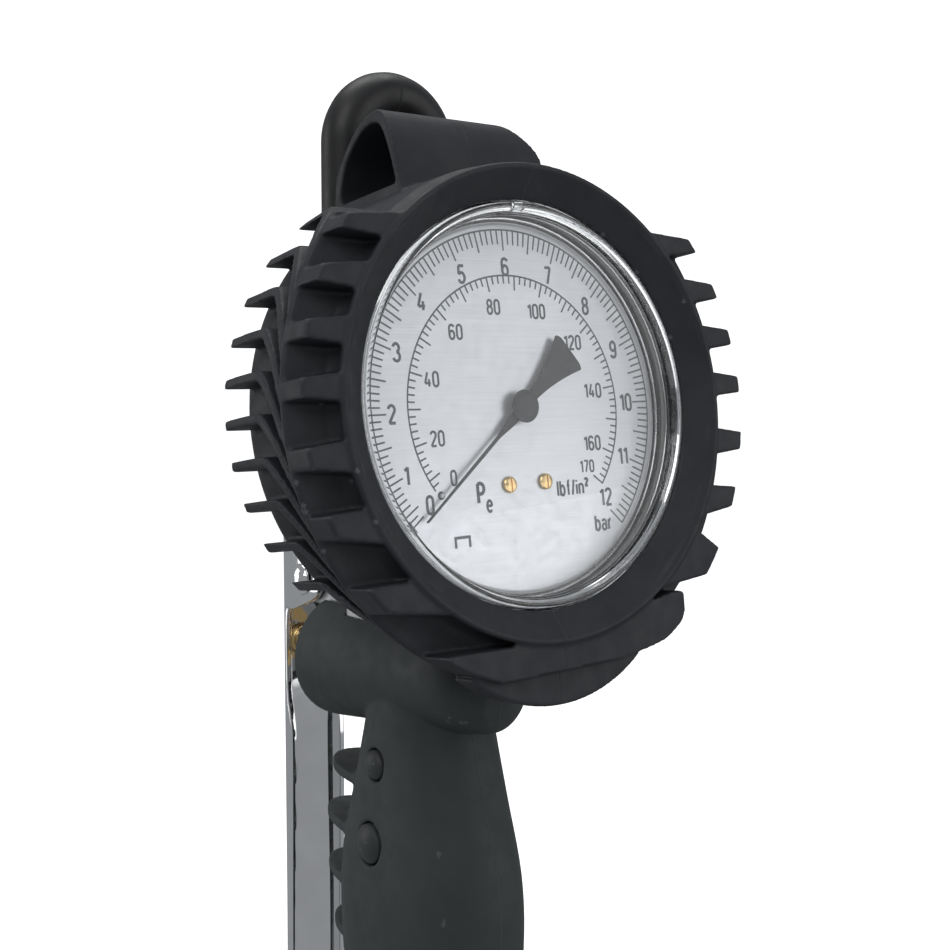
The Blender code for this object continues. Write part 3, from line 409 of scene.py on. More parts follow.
def prism(outlines, low, high, plane="XZ", centre=(0, 0, 0)):
    """Flat outlines given thickness across their plane; an outline inside another is a hole."""
    curve = bpy.data.curves.new("outline", "CURVE")
    curve.dimensions = "2D"
    curve.fill_mode = "BOTH"
    curve.extrude = (high - low) / 2
    for outline in outlines:
        add_spline(curve, outline, True)
    mesh = weld(evaluated(holder(curve)))
    offset = Vector(ACROSS[plane]) * (high + low) / 2
    mesh.transform(Matrix.Translation(Vector(centre) + offset) @ PLANES[plane])
    return mesh


def tube(points, radius, resolution=8):
    curve = bpy.data.curves.new("tube", "CURVE")
    curve.dimensions = "3D"
    curve.bevel_depth = radius
    curve.bevel_resolution = resolution
    curve.use_fill_caps = True
    add_spline(curve, points, False)
    return weld(evaluated(holder(curve)))


def loft(sections):
    """A solid through rings of points that all have the same count."""
    bm = bmesh.new()
    rings = [[bm.verts.new(point) for point in section] for section in sections]
    count = len(rings[0])
    for upper, lower in zip(rings, rings[1:]):
        for index in range(count):
            after = (index + 1) % count
            bm.faces.new((upper[index], upper[after], lower[after], lower[index]))
    bm.faces.new(rings[0])
    bm.faces.new(rings[-1])
    return to_mesh(bm)


def shaped(base, join=(), cut=(), keep=None, solver="MANIFOLD"):
    """Boolean work on meshes: joined first, then cut, then kept only inside the last one."""
    obj = holder(base)
    tools = []
    steps = [("UNION", mesh) for mesh in join] + [("DIFFERENCE", mesh) for mesh in cut]
    if keep:
        steps.append(("INTERSECT", keep))
    for operation, mesh in steps:
        tools.append(holder(mesh))
        modifier = obj.modifiers.new(operation.title(), "BOOLEAN")
        modifier.operation = operation
        modifier.solver = solver
        modifier.object = tools[-1]
    mesh = evaluated(obj)
    for tool in tools:
        bpy.data.objects.remove(tool, do_unlink=True)
    return mesh


def bevelled(mesh, width, segments=3, angle=35):
    obj = holder(mesh)
    modifier = obj.modifiers.new("Bevel", "BEVEL")
    modifier.width = width
    modifier.segments = segments
    modifier.limit_method = "ANGLE"
    modifier.angle_limit = math.radians(angle)
    return evaluated(obj)


def moulded(mesh, voxel, rounds, share=1.0):
    """Soft moulded edges: an even fine mesh, smoothed, then thinned to a share of its faces."""
    obj = holder(mesh)
    remesh = obj.modifiers.new("Remesh", "REMESH")
    remesh.mode = "VOXEL"
    remesh.voxel_size = voxel
    smooth = obj.modifiers.new("Smooth", "SMOOTH")
    smooth.factor = 0.5
    smooth.iterations = rounds
    if share < 1.0:
        thin = obj.modifiers.new("Decimate", "DECIMATE")
        thin.ratio = share
    return evaluated(obj)


def gathered(meshes):
    """Several meshes as one."""
    bm = bmesh.new()
    for mesh in meshes:
        bm.from_mesh(mesh)
    whole = bpy.data.meshes.new("shape")
    bm.to_mesh(whole)
    bm.free()
    return whole


# ---------------------------------------------------------------- materials

def plain(name, colour, roughness, metallic=0.0, **sockets):
    """A material with even values; sockets are the shader's own, with _ for a space."""
    material = bpy.data.materials.new(name)
    material.use_nodes = True
    shader = material.node_tree.nodes["Principled BSDF"]
    shader.inputs["Base Color"].default_value = (*colour, 1.0)
    shader.inputs["Roughness"].default_value = roughness
    shader.inputs["Metallic"].default_value = metallic
    for socket, value in sockets.items():
        shader.inputs[socket.replace("_", " ")].default_value = value
    material.diffuse_color = (*colour, 1.0)
    return material


def noise(material, scale, detail=3.0, stretch=(1, 1, 1)):
    """Noise in the piece's own coordinates; scale counts features in a metre."""
    tree = material.node_tree
    spots = tree.nodes.new("ShaderNodeTexCoord")
    mapping = tree.nodes.new("ShaderNodeMapping")
    mapping.inputs["Scale"].default_value = stretch
    texture = tree.nodes.new("ShaderNodeTexNoise")
    texture.inputs["Scale"].default_value = scale
    texture.inputs["Detail"].default_value = detail
    tree.links.new(spots.outputs["Object"], mapping.inputs["Vector"])
    tree.links.new(mapping.outputs["Vector"], texture.inputs["Vector"])
    return texture.outputs["Fac"]


def ranged(material, value, low, high, to_low, to_high):
    node = material.node_tree.nodes.new("ShaderNodeMapRange")
    node.inputs["From Min"].default_value = low
    node.inputs["From Max"].default_value = high
    node.inputs["To Min"].default_value = to_low
    node.inputs["To Max"].default_value = to_high
    material.node_tree.links.new(value, node.inputs["Value"])
    return node.outputs["Result"]


def mixed(material, factor, first, second):
    """A colour between two; each is a colour or a socket."""
    tree = material.node_tree
    node = tree.nodes.new("ShaderNodeMix")
    node.data_type = "RGBA"
    for socket, value in ((node.inputs[6], first), (node.inputs[7], second)):
        if isinstance(value, tuple):
            socket.default_value = (*value, 1.0)
        else:
            tree.links.new(value, socket)
    tree.links.new(factor, node.inputs[0])
    return node.outputs[2]


def connect(material, value, socket):
    tree = material.node_tree
    tree.links.new(value, tree.nodes["Principled BSDF"].inputs[socket])


def bumped(material, value, depth, strength=1.0, before=None):
    """Relief of a depth in metres from a value."""
    tree = material.node_tree
    node = tree.nodes.new("ShaderNodeBump")
    node.inputs["Strength"].default_value = strength
    node.inputs["Distance"].default_value = depth
    tree.links.new(value, node.inputs["Height"])
    if before:
        tree.links.new(before, node.inputs["Normal"])
    connect(material, node.outputs["Normal"], "Normal")
    return node.outputs["Normal"]


def seam_line(material, width):
    """A value that is 1 on the mould's parting plane, X = 0, and 0 beside it."""
    tree = material.node_tree
    spots = tree.nodes.new("ShaderNodeTexCoord")
    split = tree.nodes.new("ShaderNodeSeparateXYZ")
    size = tree.nodes.new("ShaderNodeMath")
    size.operation = "ABSOLUTE"
    tree.links.new(spots.outputs["Object"], split.inputs["Vector"])
    tree.links.new(split.outputs["X"], size.inputs[0])
    return ranged(material, size.outputs[0], 0.0, width, 1.0, 0.0)


def rubber(name, colour, pale, roughness, edge_wear_and_highlight, grain=0.00004, seam=True):
    """Moulded rubber: blotches, fine grain, pale edges that are partly wear and partly painted highlight, and
    a parting line.
    """
    material = plain(name, colour, roughness, Specular_IOR_Level=0.42)
    blotches = ranged(material, noise(material, 90, 5), 0.35, 0.7, 0.0, 0.55)
    base = mixed(material, blotches, colour, pale)
    tree = material.node_tree
    shape = tree.nodes.new("ShaderNodeNewGeometry")
    # Convex edges made paler from pointiness: partly wear, partly a painted highlight.
    edges = ranged(material, shape.outputs["Pointiness"], 0.535, 0.60, 0.0, edge_wear_and_highlight)
    base = mixed(material, edges, base, tuple(value * 3.2 for value in pale))
    dust = ranged(material, noise(material, 3800, 1), 0.74, 0.79, 0.0, 0.25)
    base = mixed(material, dust, base, (0.13, 0.13, 0.13))
    if seam:
        base = mixed(material, ranged(material, seam_line(material, 0.00016), 0, 1, 0, 0.5), base,
                     tuple(value * 2.2 for value in pale))
    connect(material, base, "Base Color")
    connect(material, ranged(material, noise(material, 260, 3), 0.3, 0.7, roughness - 0.07,
                             roughness + 0.07), "Roughness")
    relief = bumped(material, noise(material, 2600, 4), grain, 0.5)
    if seam:
        bumped(material, seam_line(material, 0.00025), 0.00012, 0.8, relief)
    return material


def metal(name, colour, roughness, grain_scale, grain, stretch=(1, 1, 1)):
    """Bare or plated metal with a grain and slightly uneven polish."""
    material = plain(name, colour, roughness, 1.0)
    tone = ranged(material, noise(material, 140, 4), 0.3, 0.7, 0.0, 0.5)
    connect(material, mixed(material, tone, colour, tuple(value * 0.86 for value in colour)),
            "Base Color")
    connect(material, ranged(material, noise(material, 420, 3), 0.3, 0.7, roughness * 0.75,
                             roughness * 1.3), "Roughness")
    bumped(material, noise(material, grain_scale, 3, stretch), grain, 0.6)
    return material


def dial_metal():
    """Silver-white plate brushed from side to side."""
    colour = (0.66, 0.665, 0.69)
    material = plain("dial_silver", colour, 0.36, 0.62)
    brushing = noise(material, 55, 4, (1, 1, 90))
    connect(material, mixed(material, ranged(material, brushing, 0.3, 0.7, 0, 1), colour,
                            (0.74, 0.745, 0.77)), "Base Color")
    connect(material, ranged(material, noise(material, 500, 2), 0.3, 0.7, 0.30, 0.42), "Roughness")
    bumped(material, brushing, 0.00001, 0.4)
    return material


def print_ink():
    material = plain("dial_print", (0.045, 0.050, 0.065), 0.5)
    tone = ranged(material, noise(material, 3000, 2), 0.3, 0.7, 0, 1)
    connect(material, mixed(material, tone, (0.040, 0.045, 0.060), (0.062, 0.068, 0.085)), "Base Color")
    return material


def pointer_paint():
    colour = (0.010, 0.011, 0.014)
    material = plain("pointer_black", colour, 0.42, Specular_IOR_Level=0.3)
    tone = ranged(material, noise(material, 700, 3), 0.3, 0.7, 0, 1)
    connect(material, mixed(material, tone, colour, (0.017, 0.018, 0.022)), "Base Color")
    bumped(material, noise(material, 5000, 2), 0.00001, 0.4)
    return material


def clear_plastic():
    material = plain("lens_clear", (0.97, 0.985, 0.99), 0.02, Transmission_Weight=1.0, IOR=1.49)
    connect(material, ranged(material, noise(material, 300, 3), 0.3, 0.7, 0.0, 0.012), "Roughness")
    return material


def make_materials():
    return {
        "boot_rubber": rubber("boot_rubber", (0.019, 0.021, 0.026), (0.034, 0.036, 0.040), 0.58, 0.7),
        "hook_rubber": rubber("hook_rubber", (0.011, 0.011, 0.012), (0.020, 0.020, 0.020), 0.44, 0.3),
        "grip_rubber": rubber("grip_rubber", (0.036, 0.043, 0.043), (0.050, 0.057, 0.055), 0.62, 0.3),
        "plug_rubber": rubber("plug_rubber", (0.030, 0.035, 0.035), (0.044, 0.049, 0.048), 0.52, 0.4,
                              seam=False),
        "seal_rubber": rubber("seal_rubber", (0.014, 0.014, 0.015), (0.022, 0.022, 0.022), 0.5, 0.2,
                              seam=False),
        "lens_clear": clear_plastic(),
        "dial_silver": dial_metal(),
        "dial_print": print_ink(),
        "pointer_black": pointer_paint(),
        "steel": metal("steel", (0.60, 0.60, 0.61), 0.28, 1800, 0.00001),
        "brass": metal("brass", (0.80, 0.56, 0.25), 0.26, 1500, 0.00001),
        "chrome": metal("chrome", (0.88, 0.885, 0.89), 0.05, 45, 0.00006),
        "cast_alloy": metal("cast_alloy", (0.50, 0.51, 0.52), 0.48, 1400, 0.00006),
        "bronze_filter": metal("bronze_filter", (0.55, 0.36, 0.18), 0.7, 3500, 0.0002),
    }


# ---------------------------------------------------------------- putting pieces in the frame

def show(name, mesh, place, node, slot, material=None, angle=35):
    """A visible piece that rides with a CAD node's body and stands for that node."""
    mesh.transform(place)
    mesh.materials.clear()
    mesh.materials.append(MATERIALS[material or slot])
    mesh.shade_smooth()
    mesh.set_sharp_from_angle(angle=math.radians(angle))
    obj = bpy.data.objects.new(name, mesh)
    bpy.context.scene.collection.objects.link(obj)
    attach(obj, BODY_OF[node])
    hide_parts(node)
    return obj


def dress_cad_nodes():
    """Materials for the CAD nodes that stay."""
    slots = {part["node"]: part["material_slot"] for part in RECORD["subparts"]}
    for name, obj in frame["nodes"].items():
        if name in slots:
            for slot in obj.material_slots:
                slot.link = "OBJECT"
                slot.material = MATERIALS[slots[name]]


# ---------------------------------------------------------------- boot

def boot_core():
    case = CASE_R + GAP
    profile = [(43.6, 24.2), (45.0, 23.3), (BOOT_R, 21.8), (BOOT_R, -4.6), (44.2, -6.5), (43.9, -7.7),
               (44.9, -8.4), (44.9, -9.5), (44.2, -10.0), (38.6, -5.8), (38.6, -5.0),
               (case, -5.0), (case, 19.4), (37.8, 22.3), (36.0, 22.3), (36.0, 24.2)]
    return lathe(profile, closed=True)


def boot_rim():
    profile = [(42.0, 3.6), (45.9, 2.0), (47.5, 0.3), (50.0, -0.9), (52.3, -1.5), (RIM_R, -2.3),
               (52.2, -2.9), (50.5, -3.2), (48.0, -3.9), (45.9, -4.9), (42.0, -6.2)]
    rim = lathe(rounded(profile, 1.5, 3, True), closed=True, turn=0.5)
    return shaped(rim, cut=[box((-60, -20, RIM_TOP), (60, 20, 70))])


def boot_teeth():
    """Blocks round both sides of the lip, each narrower at its tip."""
    outlines = []
    for side, last in ((1, TOOTH_LAST_RIGHT), (-1, TOOTH_EDGES[-1])):
        for top, bottom, tip_top, tip_bottom in [*TOOTH_EDGES[:-1], last]:
            high = math.degrees(math.asin(tip_top / TOOTH_R))
            low = math.degrees(math.asin(tip_bottom / TOOTH_R))
            outline = [(math.sqrt(TOOTH_ROOT_R ** 2 - top ** 2), top), *arc(TOOTH_R, high, low, 7),
                       (math.sqrt(TOOTH_ROOT_R ** 2 - bottom ** 2), bottom)]
            outlines.append([(side * x, z) for x, z in outline])
    return prism(outlines, TOOTH_FRONT, TOOTH_BACK)


def boot_fins():
    """Thin fins behind the rim that sweep down as they come forward."""
    outlines = []
    for index in range(FIN_COUNT):
        height = FIN_TOP - index * FIN_PITCH
        line = smooth_line([(y, height + rise) for y, rise in FIN_LINE], 4)
        outlines.append(ribbon(line, FIN_THICK))
    fins = prism(outlines, -60, 60, "YZ")
    front = [(x, -2.1, z) for x, z in superellipse(51.7, 51.7, 2.0, 144)]
    back = [(x, 20.3, z) for x, z in superellipse(51.7, 47.8, 2.0, 144)]
    envelope = shaped(loft([front, back]), cut=[cylinder(BOOT_R - 2.2, -30, 30, steps=96)])
    return shaped(fins, keep=envelope)


def boot_tunnel():
    outer = smooth_line(TUNNEL_OUTER, 5) + [(23.0, 40.9), (6.9, 40.9)]
    inner = smooth_line(TUNNEL_INNER, 5)
    corner = smooth_line(TUNNEL_CORNER, 5) + [(20.0, 49.0), (20.0, 62.0), (9.6, 62.0)]
    return shaped(prism([outer, inner], -TUNNEL_HALF, TUNNEL_HALF, "YZ"), cut=[prism([corner], 0, 40)])


def boot_lips():
    """Two lips under the dial that carry the teeth round the bottom."""
    top, low = (math.degrees(math.asin(height / TOOTH_R)) for height in UPPER_LIP_EDGES)
    upper = UPPER_LIP_ROOT + smooth_line(UPPER_LIP_RIGHT, 4) + [(-x, z) for x, z in arc(TOOTH_R, low, top, 9)]
    edge = math.degrees(math.asin((LOWER_LIP_TOP - LOWER_LIP_Z) / LOWER_LIP_R))
    lower = arc(LOWER_LIP_R, edge, -180.0 - edge, 33, (0.0, LOWER_LIP_Z))
    return [prism([upper], UPPER_LIP_FRONT, TOOTH_BACK), prism([lower], LOWER_LIP_FRONT, TOOTH_BACK + 0.2)]


def gauge_boot():
    saddle = cylinder(SLEEVE_R + 0.35, 5.2, 80, centre=(0, 0, BARREL_Z), steps=96)
    saddle.transform(BOOT.inverted() @ MODEL)
    body = shaped(boot_core(), [boot_rim(), boot_teeth(), boot_fins(), boot_tunnel(), *boot_lips()], [saddle])
    show("boot", moulded(body, 0.36, 5, FACE_SHARE), BOOT, "gauge_boot", "boot_rubber", angle=80)


# ---------------------------------------------------------------- gauge

def gauge_case():
    wall = CASE_R - 1.2
    profile = [(0, 22.0), (37.4, 22.0), (CASE_R, 19.3), (CASE_R, -4.6), (wall, -4.6), (wall, -0.3),
               (36.2, -0.3), (36.2, 1.4), (wall, 1.4), (wall, 18.7), (36.8, 20.8), (0, 20.8)]
    case = lathe(rounded(profile, 0.35, 3))
    hole = cylinder(6.6, 15, 30, centre=(0, 0, STEM_Z))
    show("case", shaped(case, cut=[hole]), BOOT, "gauge_case", "steel")


def gauge_lens():
    profile = [(0, -2.5), (36.3, -2.5), (36.5, -2.4), (LENS_R, -2.4), (LENS_R, -5.7), (37.95, -6.25),
               (37.55, -6.4), (37.2, -6.32), (36.85, -5.9), (36.7, -5.4), (36.55, -5.1), (36.5, -4.6),
               (36.2, -4.2), (0, -4.2)]
    lens = lathe(rounded(profile, 0.22, 3), steps=256)
    tab = bevelled(box((-1.5, -6.35, 36.9), (1.4, -4.6, 38.1)), 0.25)
    nib = bevelled(box((-0.5, -6.38, 37.2), (1.0, -5.2, 38.15)), 0.2)
    for obj in (show("lens", lens, DIAL, "gauge_lens", "lens_clear", angle=30),
                show("lens_tab", shaped(tab, [nib]), DIAL, "gauge_lens", "lens_clear")):
        obj.visible_shadow = False
        obj.visible_diffuse = False


def dial_plate():
    profile = [(0, 0.8), (DIAL_R - 0.1, 0.8), (DIAL_R, 0.7), (DIAL_R, 0.3), (DIAL_R - 0.35, 0.06),
               (DIAL_R - 0.8, 0.0), (0, 0.0)]
    holes = [cylinder(1.3, -1, 2, steps=32)]
    for x, z in [STOP_SPOT, *SCREW_SPOTS.values()]:
        holes.append(cylinder(0.8, -1, 2, centre=(x, 0, z), steps=24))
    show("dial", shaped(lathe(profile), cut=holes), DIAL, "dial_plate", "dial_silver")


def tick(angle, outer, length, width=LINE):
    return turn_points([(outer, width / 2), (outer, -width / 2), (outer - length, -width / 2),
                        (outer - length, width / 2)], angle)


def scale_line(radius, first, last):
    return arc(radius + LINE / 2, first, last, 240) + arc(radius - LINE / 2, last, first, 240)


def bow(x, z, half_x, half_z, start, end):
    """Points on part of an upright oval."""
    return [(x + half_x * across, z + half_z * up) for across, up in arc(1.0, start, end, 25)]


def sign_strokes(sign):
    """Width and pen strokes of a printed sign, for a height of 1."""
    stem = [(0, 1), (0, 0)]
    short_stem = [(0, 0.68), (0, 0)]
    two = [bow(0.21, 0.76, 0.21, 0.24, 170, -32) + [(0, 0)], [(0, 0), (0.42, 0)]]
    six = [bow(0.21, 0.29, 0.21, 0.29, 0, 360), [(0, 0.29), *bow(0.21, 0.76, 0.21, 0.24, 180, 20)]]
    return {
        "0": (0.42, [bow(0.21, 0.75, 0.21, 0.25, 0, 180) + bow(0.21, 0.25, 0.21, 0.25, 180, 360)
                     + [(0.42, 0.75)]]),
        "1": (0.22, [[(0, 0.80), (0.22, 0.97)], [(0.22, 1), (0.22, 0)]]),
        "2": (0.42, two),
        "3": (0.42, [bow(0.20, 0.76, 0.20, 0.24, 165, -85), bow(0.20, 0.26, 0.22, 0.26, 85, -165)]),
        "4": (0.46, [[(0.24, 1), (0, 0.24)], [(0, 0.24), (0.46, 0.24)], [(0.33, 0.52), (0.33, 0)]]),
        "5": (0.42, [[(0.40, 1), (0.03, 1)], [(0.03, 1), (0.01, 0.50)], bow(0.2, 0.3, 0.22, 0.3, 145, -160)]),
        "6": (0.42, six),
        "7": (0.42, [[(0, 1), (0.42, 1)], [(0.42, 1), (0.14, 0)]]),
        "8": (0.42, [bow(0.21, 0.77, 0.19, 0.23, 0, 360), bow(0.21, 0.27, 0.21, 0.27, 0, 360)]),
        "9": (0.42, [[(0.42 - x, 1 - z) for x, z in stroke] for stroke in six]),
        "a": (0.34, [bow(0.17, 0.50, 0.17, 0.18, 160, 0) + [(0.34, 0)], bow(0.17, 0.2, 0.17, 0.2, 0, 360)]),
        "b": (0.36, [stem, bow(0.18, 0.34, 0.18, 0.34, 180, -180)]),
        "e": (0.36, [bow(0.18, 0.34, 0.18, 0.34, 0, 320), [(0, 0.36), (0.36, 0.36)]]),
        "f": (0.24, [bow(0.24, 0.84, 0.12, 0.16, 90, 180) + [(0.12, 0)], [(0, 0.66), (0.24, 0.66)]]),
        "i": (0.00, [short_stem, [(0, 0.86), (0, 0.98)]]),
        "l": (0.00, [stem]),
        "n": (0.34, [short_stem, bow(0.17, 0.48, 0.17, 0.2, 180, 0) + [(0.34, 0)]]),
        "r": (0.20, [short_stem, bow(0.2, 0.40, 0.2, 0.28, 180, 90)]),
        "P": (0.40, [stem, [(0, 1), *bow(0.18, 0.73, 0.22, 0.27, 90, -90), (0, 0.46)]]),
        "/": (0.18, [[(0, -0.02), (0.18, 1.02)]]),
        "²": (0.24, [[(0.55 * x, 0.52 + 0.52 * z) for x, z in stroke] for stroke in two]),
    }[sign]


def words(text, height, x, z, pen):
    """Printed signs, upright on the dial and centred on a point; height is from edge to edge."""
    size = height - pen
    signs = [sign_strokes(sign) for sign in text]
    run = sum(width for width, _ in signs) + LETTER_GAP * (len(signs) - 1)
    left = x - run * size / 2
    meshes = []
    for width, strokes in signs:
        for stroke in strokes:
            line = [(left + across * size, z - size / 2 + up * size) for across, up in stroke]
            lift = 0.002 * len(meshes)
            meshes.append(prism([ribbon(line, pen)], PRINT_FRONT - lift, PRINT_BACK - lift))
        left += (width + LETTER_GAP) * size
    return gathered(meshes)


def dial_marks():
    """Both scales, their numbers and the unit signs."""
    last_bar = ZERO_ANGLE - BAR_ANGLE * 12
    last_psi = ZERO_ANGLE - PSI_ANGLE * 170
    band_angles = (219.8, 215.3)
    marks = [prism([scale_line(BAR_CIRCLE, 213.0, last_bar - 0.2)], PRINT_FRONT, PRINT_BACK),
             prism([scale_line(PSI_CIRCLE, 214.5, last_psi - 0.3)], PRINT_FRONT, PRINT_BACK)]
    bar_ticks = [tick(217.8, BAR_CIRCLE, 3.7)]
    for tenth in range(4, 121):
        length = BAR_TICKS[0] if tenth % 5 == 0 else BAR_TICKS[1]
        angle = ZERO_ANGLE - BAR_ANGLE * tenth / 10
        bar_ticks.append(tick(angle, BAR_CIRCLE - LINE / 2, length))
    psi_ticks = []
    for pounds in range(8, 172, 2):
        length = PSI_TICKS[0] if pounds % 10 == 0 else PSI_TICKS[1]
        psi_ticks.append(tick(ZERO_ANGLE - PSI_ANGLE * pounds, PSI_CIRCLE - LINE / 2, length))
    band = arc(BAR_CIRCLE + 0.05, *band_angles, 9) + arc(BAR_CIRCLE - 0.75, *band_angles[::-1], 9)
    for lift, outlines in ((0.003, bar_ticks), (0.003, psi_ticks), (0.006, [band])):
        marks.append(prism(outlines, PRINT_FRONT - lift, PRINT_BACK - lift))
    for value in range(13):
        angle = BAR_NUMBER_ANGLES.get(value, ZERO_ANGLE - BAR_ANGLE * value)
        radius = BAR_NUMBER_RADII.get(value, BAR_NUMBERS_R)
        size, pen = BAR_SIGN
        marks.append(words(str(value), size, *spot(radius, angle), pen))
    for pounds in (0, 20, 40, 60, 80, 100, 120, 140, 160, 170):
        angle = PSI_NUMBER_ANGLES.get(pounds, ZERO_ANGLE - PSI_ANGLE * pounds)
        radius = PSI_NUMBER_RADII.get(pounds, PSI_NUMBERS_R)
        size, pen = PSI_LAST_SIGN if pounds == 170 else PSI_SIGN
        marks.append(words(str(pounds), size, *spot(radius, angle), pen))
    marks += [words("P", 4.3, -10.75, -15.6, 0.7), words("e", 3.6, -9.0, -17.7, 0.52),
              words("lbf/in²", 3.3, 12.05, -16.2, 0.48), words("bar", 3.45, 19.2, -23.8, 0.52)]
    bracket = [(-1.9, -1.1), (-1.9, 1.1), (1.9, 1.1), (1.9, -1.1), (1.35, -1.1), (1.35, 0.55),
               (-1.35, 0.55), (-1.35, -1.1)]
    marks.append(prism([[(x - 16.0, z - 24.25) for x, z in bracket]], PRINT_FRONT, PRINT_BACK))
    obj = bpy.data.objects.new("dial_marks", gathered(marks))
    obj.data.transform(DIAL @ Matrix.Translation((PRINT_SHIFT[0], 0, PRINT_SHIFT[1])))
    obj.data.materials.append(MATERIALS["dial_print"])
    bpy.context.scene.collection.objects.link(obj)
    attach(obj, BODY_OF["dial_plate"])


def dial_fixings():
    pin = rounded([(0, 0.75), (0.5, 0.75), (0.5, -0.5), (0.35, -0.78), (0, -0.85)], 0.12, 3)
    show("stop_pin_fine", lathe(pin, centre=(STOP_SPOT[0], 0, STOP_SPOT[1]), steps=32), DIAL, "stop_pin",
         "steel")
    for side, (x, z) in SCREW_SPOTS.items():
        head = [(0, 2.2), (0.5, 2.2), (0.5, -0.3), (1.6, -0.3), (1.58, -0.5), (1.3, -0.82), (0.7, -0.97),
                (0, -1.0)]
        screw = lathe(rounded(head, 0.12, 3), centre=(x, 0, z), steps=48)
        slot = box((x - 0.16, -1.3, z - 1.8), (x + 0.16, -0.62, z + 1.8))
        node = "dial_screw_" + side
        show(node + "_fine", shaped(screw, cut=[slot]), DIAL, node, "brass")


def pointer():
    """Flared tail, flat root and a thin blade; hub cap over it."""
    tail = []
    for index in range(13):
        share = index / 12
        tail.append((-2.2 - (TAIL_SPAN - 3.2) * share, 1.05 + 3.2 * share ** 1.7))
    tail += rounded([tail[-1], (-TAIL_SPAN + 0.55, 4.45), (-TAIL_SPAN, 3.4), (-TAIL_SPAN, 0.0)], 0.5)[1:]
    root = [(2.2, 1.05), (4.2, 1.0), (7.6, 0.5), (9.2, 0.28), (NEEDLE_LENGTH - 0.2, 0.16),
            (NEEDLE_LENGTH, 0.0)]
    upper = tail[::-1] + root
    outline = upper + [(x, -z) for x, z in upper[-2:0:-1]]
    blade = prism([turn_points(outline, POINTER_REST)], -1.45, -1.05)
    ridge_end = 9.0
    ridge = [(7.2, 0.12), (ridge_end, 0.26), (NEEDLE_LENGTH - 0.1, 0.12), (NEEDLE_LENGTH - 0.1, -0.12),
             (ridge_end, -0.26), (7.2, -0.12)]
    ridge = prism([turn_points(ridge, POINTER_REST)], -1.62, -1.2)
    collar = cylinder(2.6, -1.47, -1.03, steps=48)
    blade = shaped(blade, [ridge, collar], [cylinder(2.0, -3, 1, steps=48)])
    show("pointer_blade", bevelled(blade, 0.05, 2), DIAL, "pointer", "pointer_black")
    cap = [(0, -0.4), (1.7, -0.4), (1.7, -1.75), (3.2, -1.75), (3.15, -1.95), (2.45, -2.0), (2.3, -2.12),
           (0, -2.15)]
    cap = shaped(lathe(rounded(cap, 0.1, 3), steps=64), cut=[cylinder(1.0, -1.4, 1, steps=32)])
    show("pointer_cap", cap, DIAL, "pointer_hub", "pointer_black")


# ---------------------------------------------------------------- body, hook and fittings

def cad_copy(name):
    """A CAD node's mesh in millimetres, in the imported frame's axes."""
    mesh = frame["nodes"][name].data.copy()
    mesh.transform(Matrix.Scale(1 / MM, 4))
    return weld(mesh, 0.001)


def valve_body():
    body = moulded(cad_copy("valve_body"), 0.45, 4, 0.5)
    show("casting", body, Matrix.Scale(MM, 4), "valve_body", "cast_alloy", angle=60)


def hanging_hook():
    arch = arc(HOOK_LEG_X, 180, 0, 40, (0, HOOK_ARCH_Z))
    line = [(-HOOK_LEG_X, HOOK_FOOT_Z), *arch, (HOOK_LEG_X, HOOK_FOOT_Z)]
    hook = bevelled(tube([(x, HOOK_Y, z) for x, z in line], HOOK_R, 10), 0.4, 3, 60)
    show("hook", hook, MODEL, "hanging_hook", "hook_rubber", angle=50)


def threaded_port(face, depth, way):
    """A cutter with thread grooves, from outside the face inwards."""
    profile = [(0, face + way), (PORT_R + THREAD_DEPTH, face + way), (PORT_R + THREAD_DEPTH, face)]
    height = THREAD_START
    while height + THREAD_PITCH < depth:
        profile += [(PORT_R, face - way * (height + THREAD_PITCH * 0.4)),
                    (PORT_R + THREAD_DEPTH, face - way * (height + THREAD_PITCH * 0.9))]
        height += THREAD_PITCH
    profile += [(PORT_R, face - way * depth), (0, face - way * depth)]
    return profile


def port_fitting(name, node, face, seat, axis, centre, depth):
    """Chamfered hexagon with a threaded port, spigot and through way."""
    way = 1 if face > seat else -1
    corner = PORT_HEX / math.sqrt(3)
    chamfer = 0.9
    blank = cylinder(corner, *sorted((seat, face)), axis, centre, 6)
    round_off = [(0, seat), (corner - chamfer, seat), (corner + 0.05, seat + way * 0.6),
                 (corner + 0.05, face - way * 0.6), (corner - chamfer, face), (0, face)]
    blank = shaped(blank, keep=lathe(round_off, axis, centre, 96))
    spigot = cylinder(SPIGOT_R, *sorted((seat + way, seat - way * 7.8)), axis, centre)
    port = lathe(threaded_port(face, depth, way), axis, centre, 96)
    through = cylinder(3.0, *sorted((face + way, seat - way * 9)), axis, centre, 40)
    body = shaped(blank, [spigot], [port, through])
    show(name, bevelled(body, 0.12, 2, 30), MODEL, node, "brass")


def fittings():
    port_fitting("inlet_union", "inlet_fitting", INLET_FACE, INLET_SEAT, "Z", (0, HANDLE_Y, 0), 9.0)
    port_fitting("outlet_union", "outlet_fitting", OUTLET_FACE, OUTLET_SEAT, "Y", (0, 0, OUTLET_Z), 7.2)
    disc = [(0, -196.3), (5.4, -196.3), (5.4, -198.0), (4.6, -198.0), (0, -197.7)]
    show("filter_disc", lathe(rounded(disc, 0.2), "Z", (0, HANDLE_Y, 0), 64), MODEL, "inlet_filter",
         "bronze_filter")


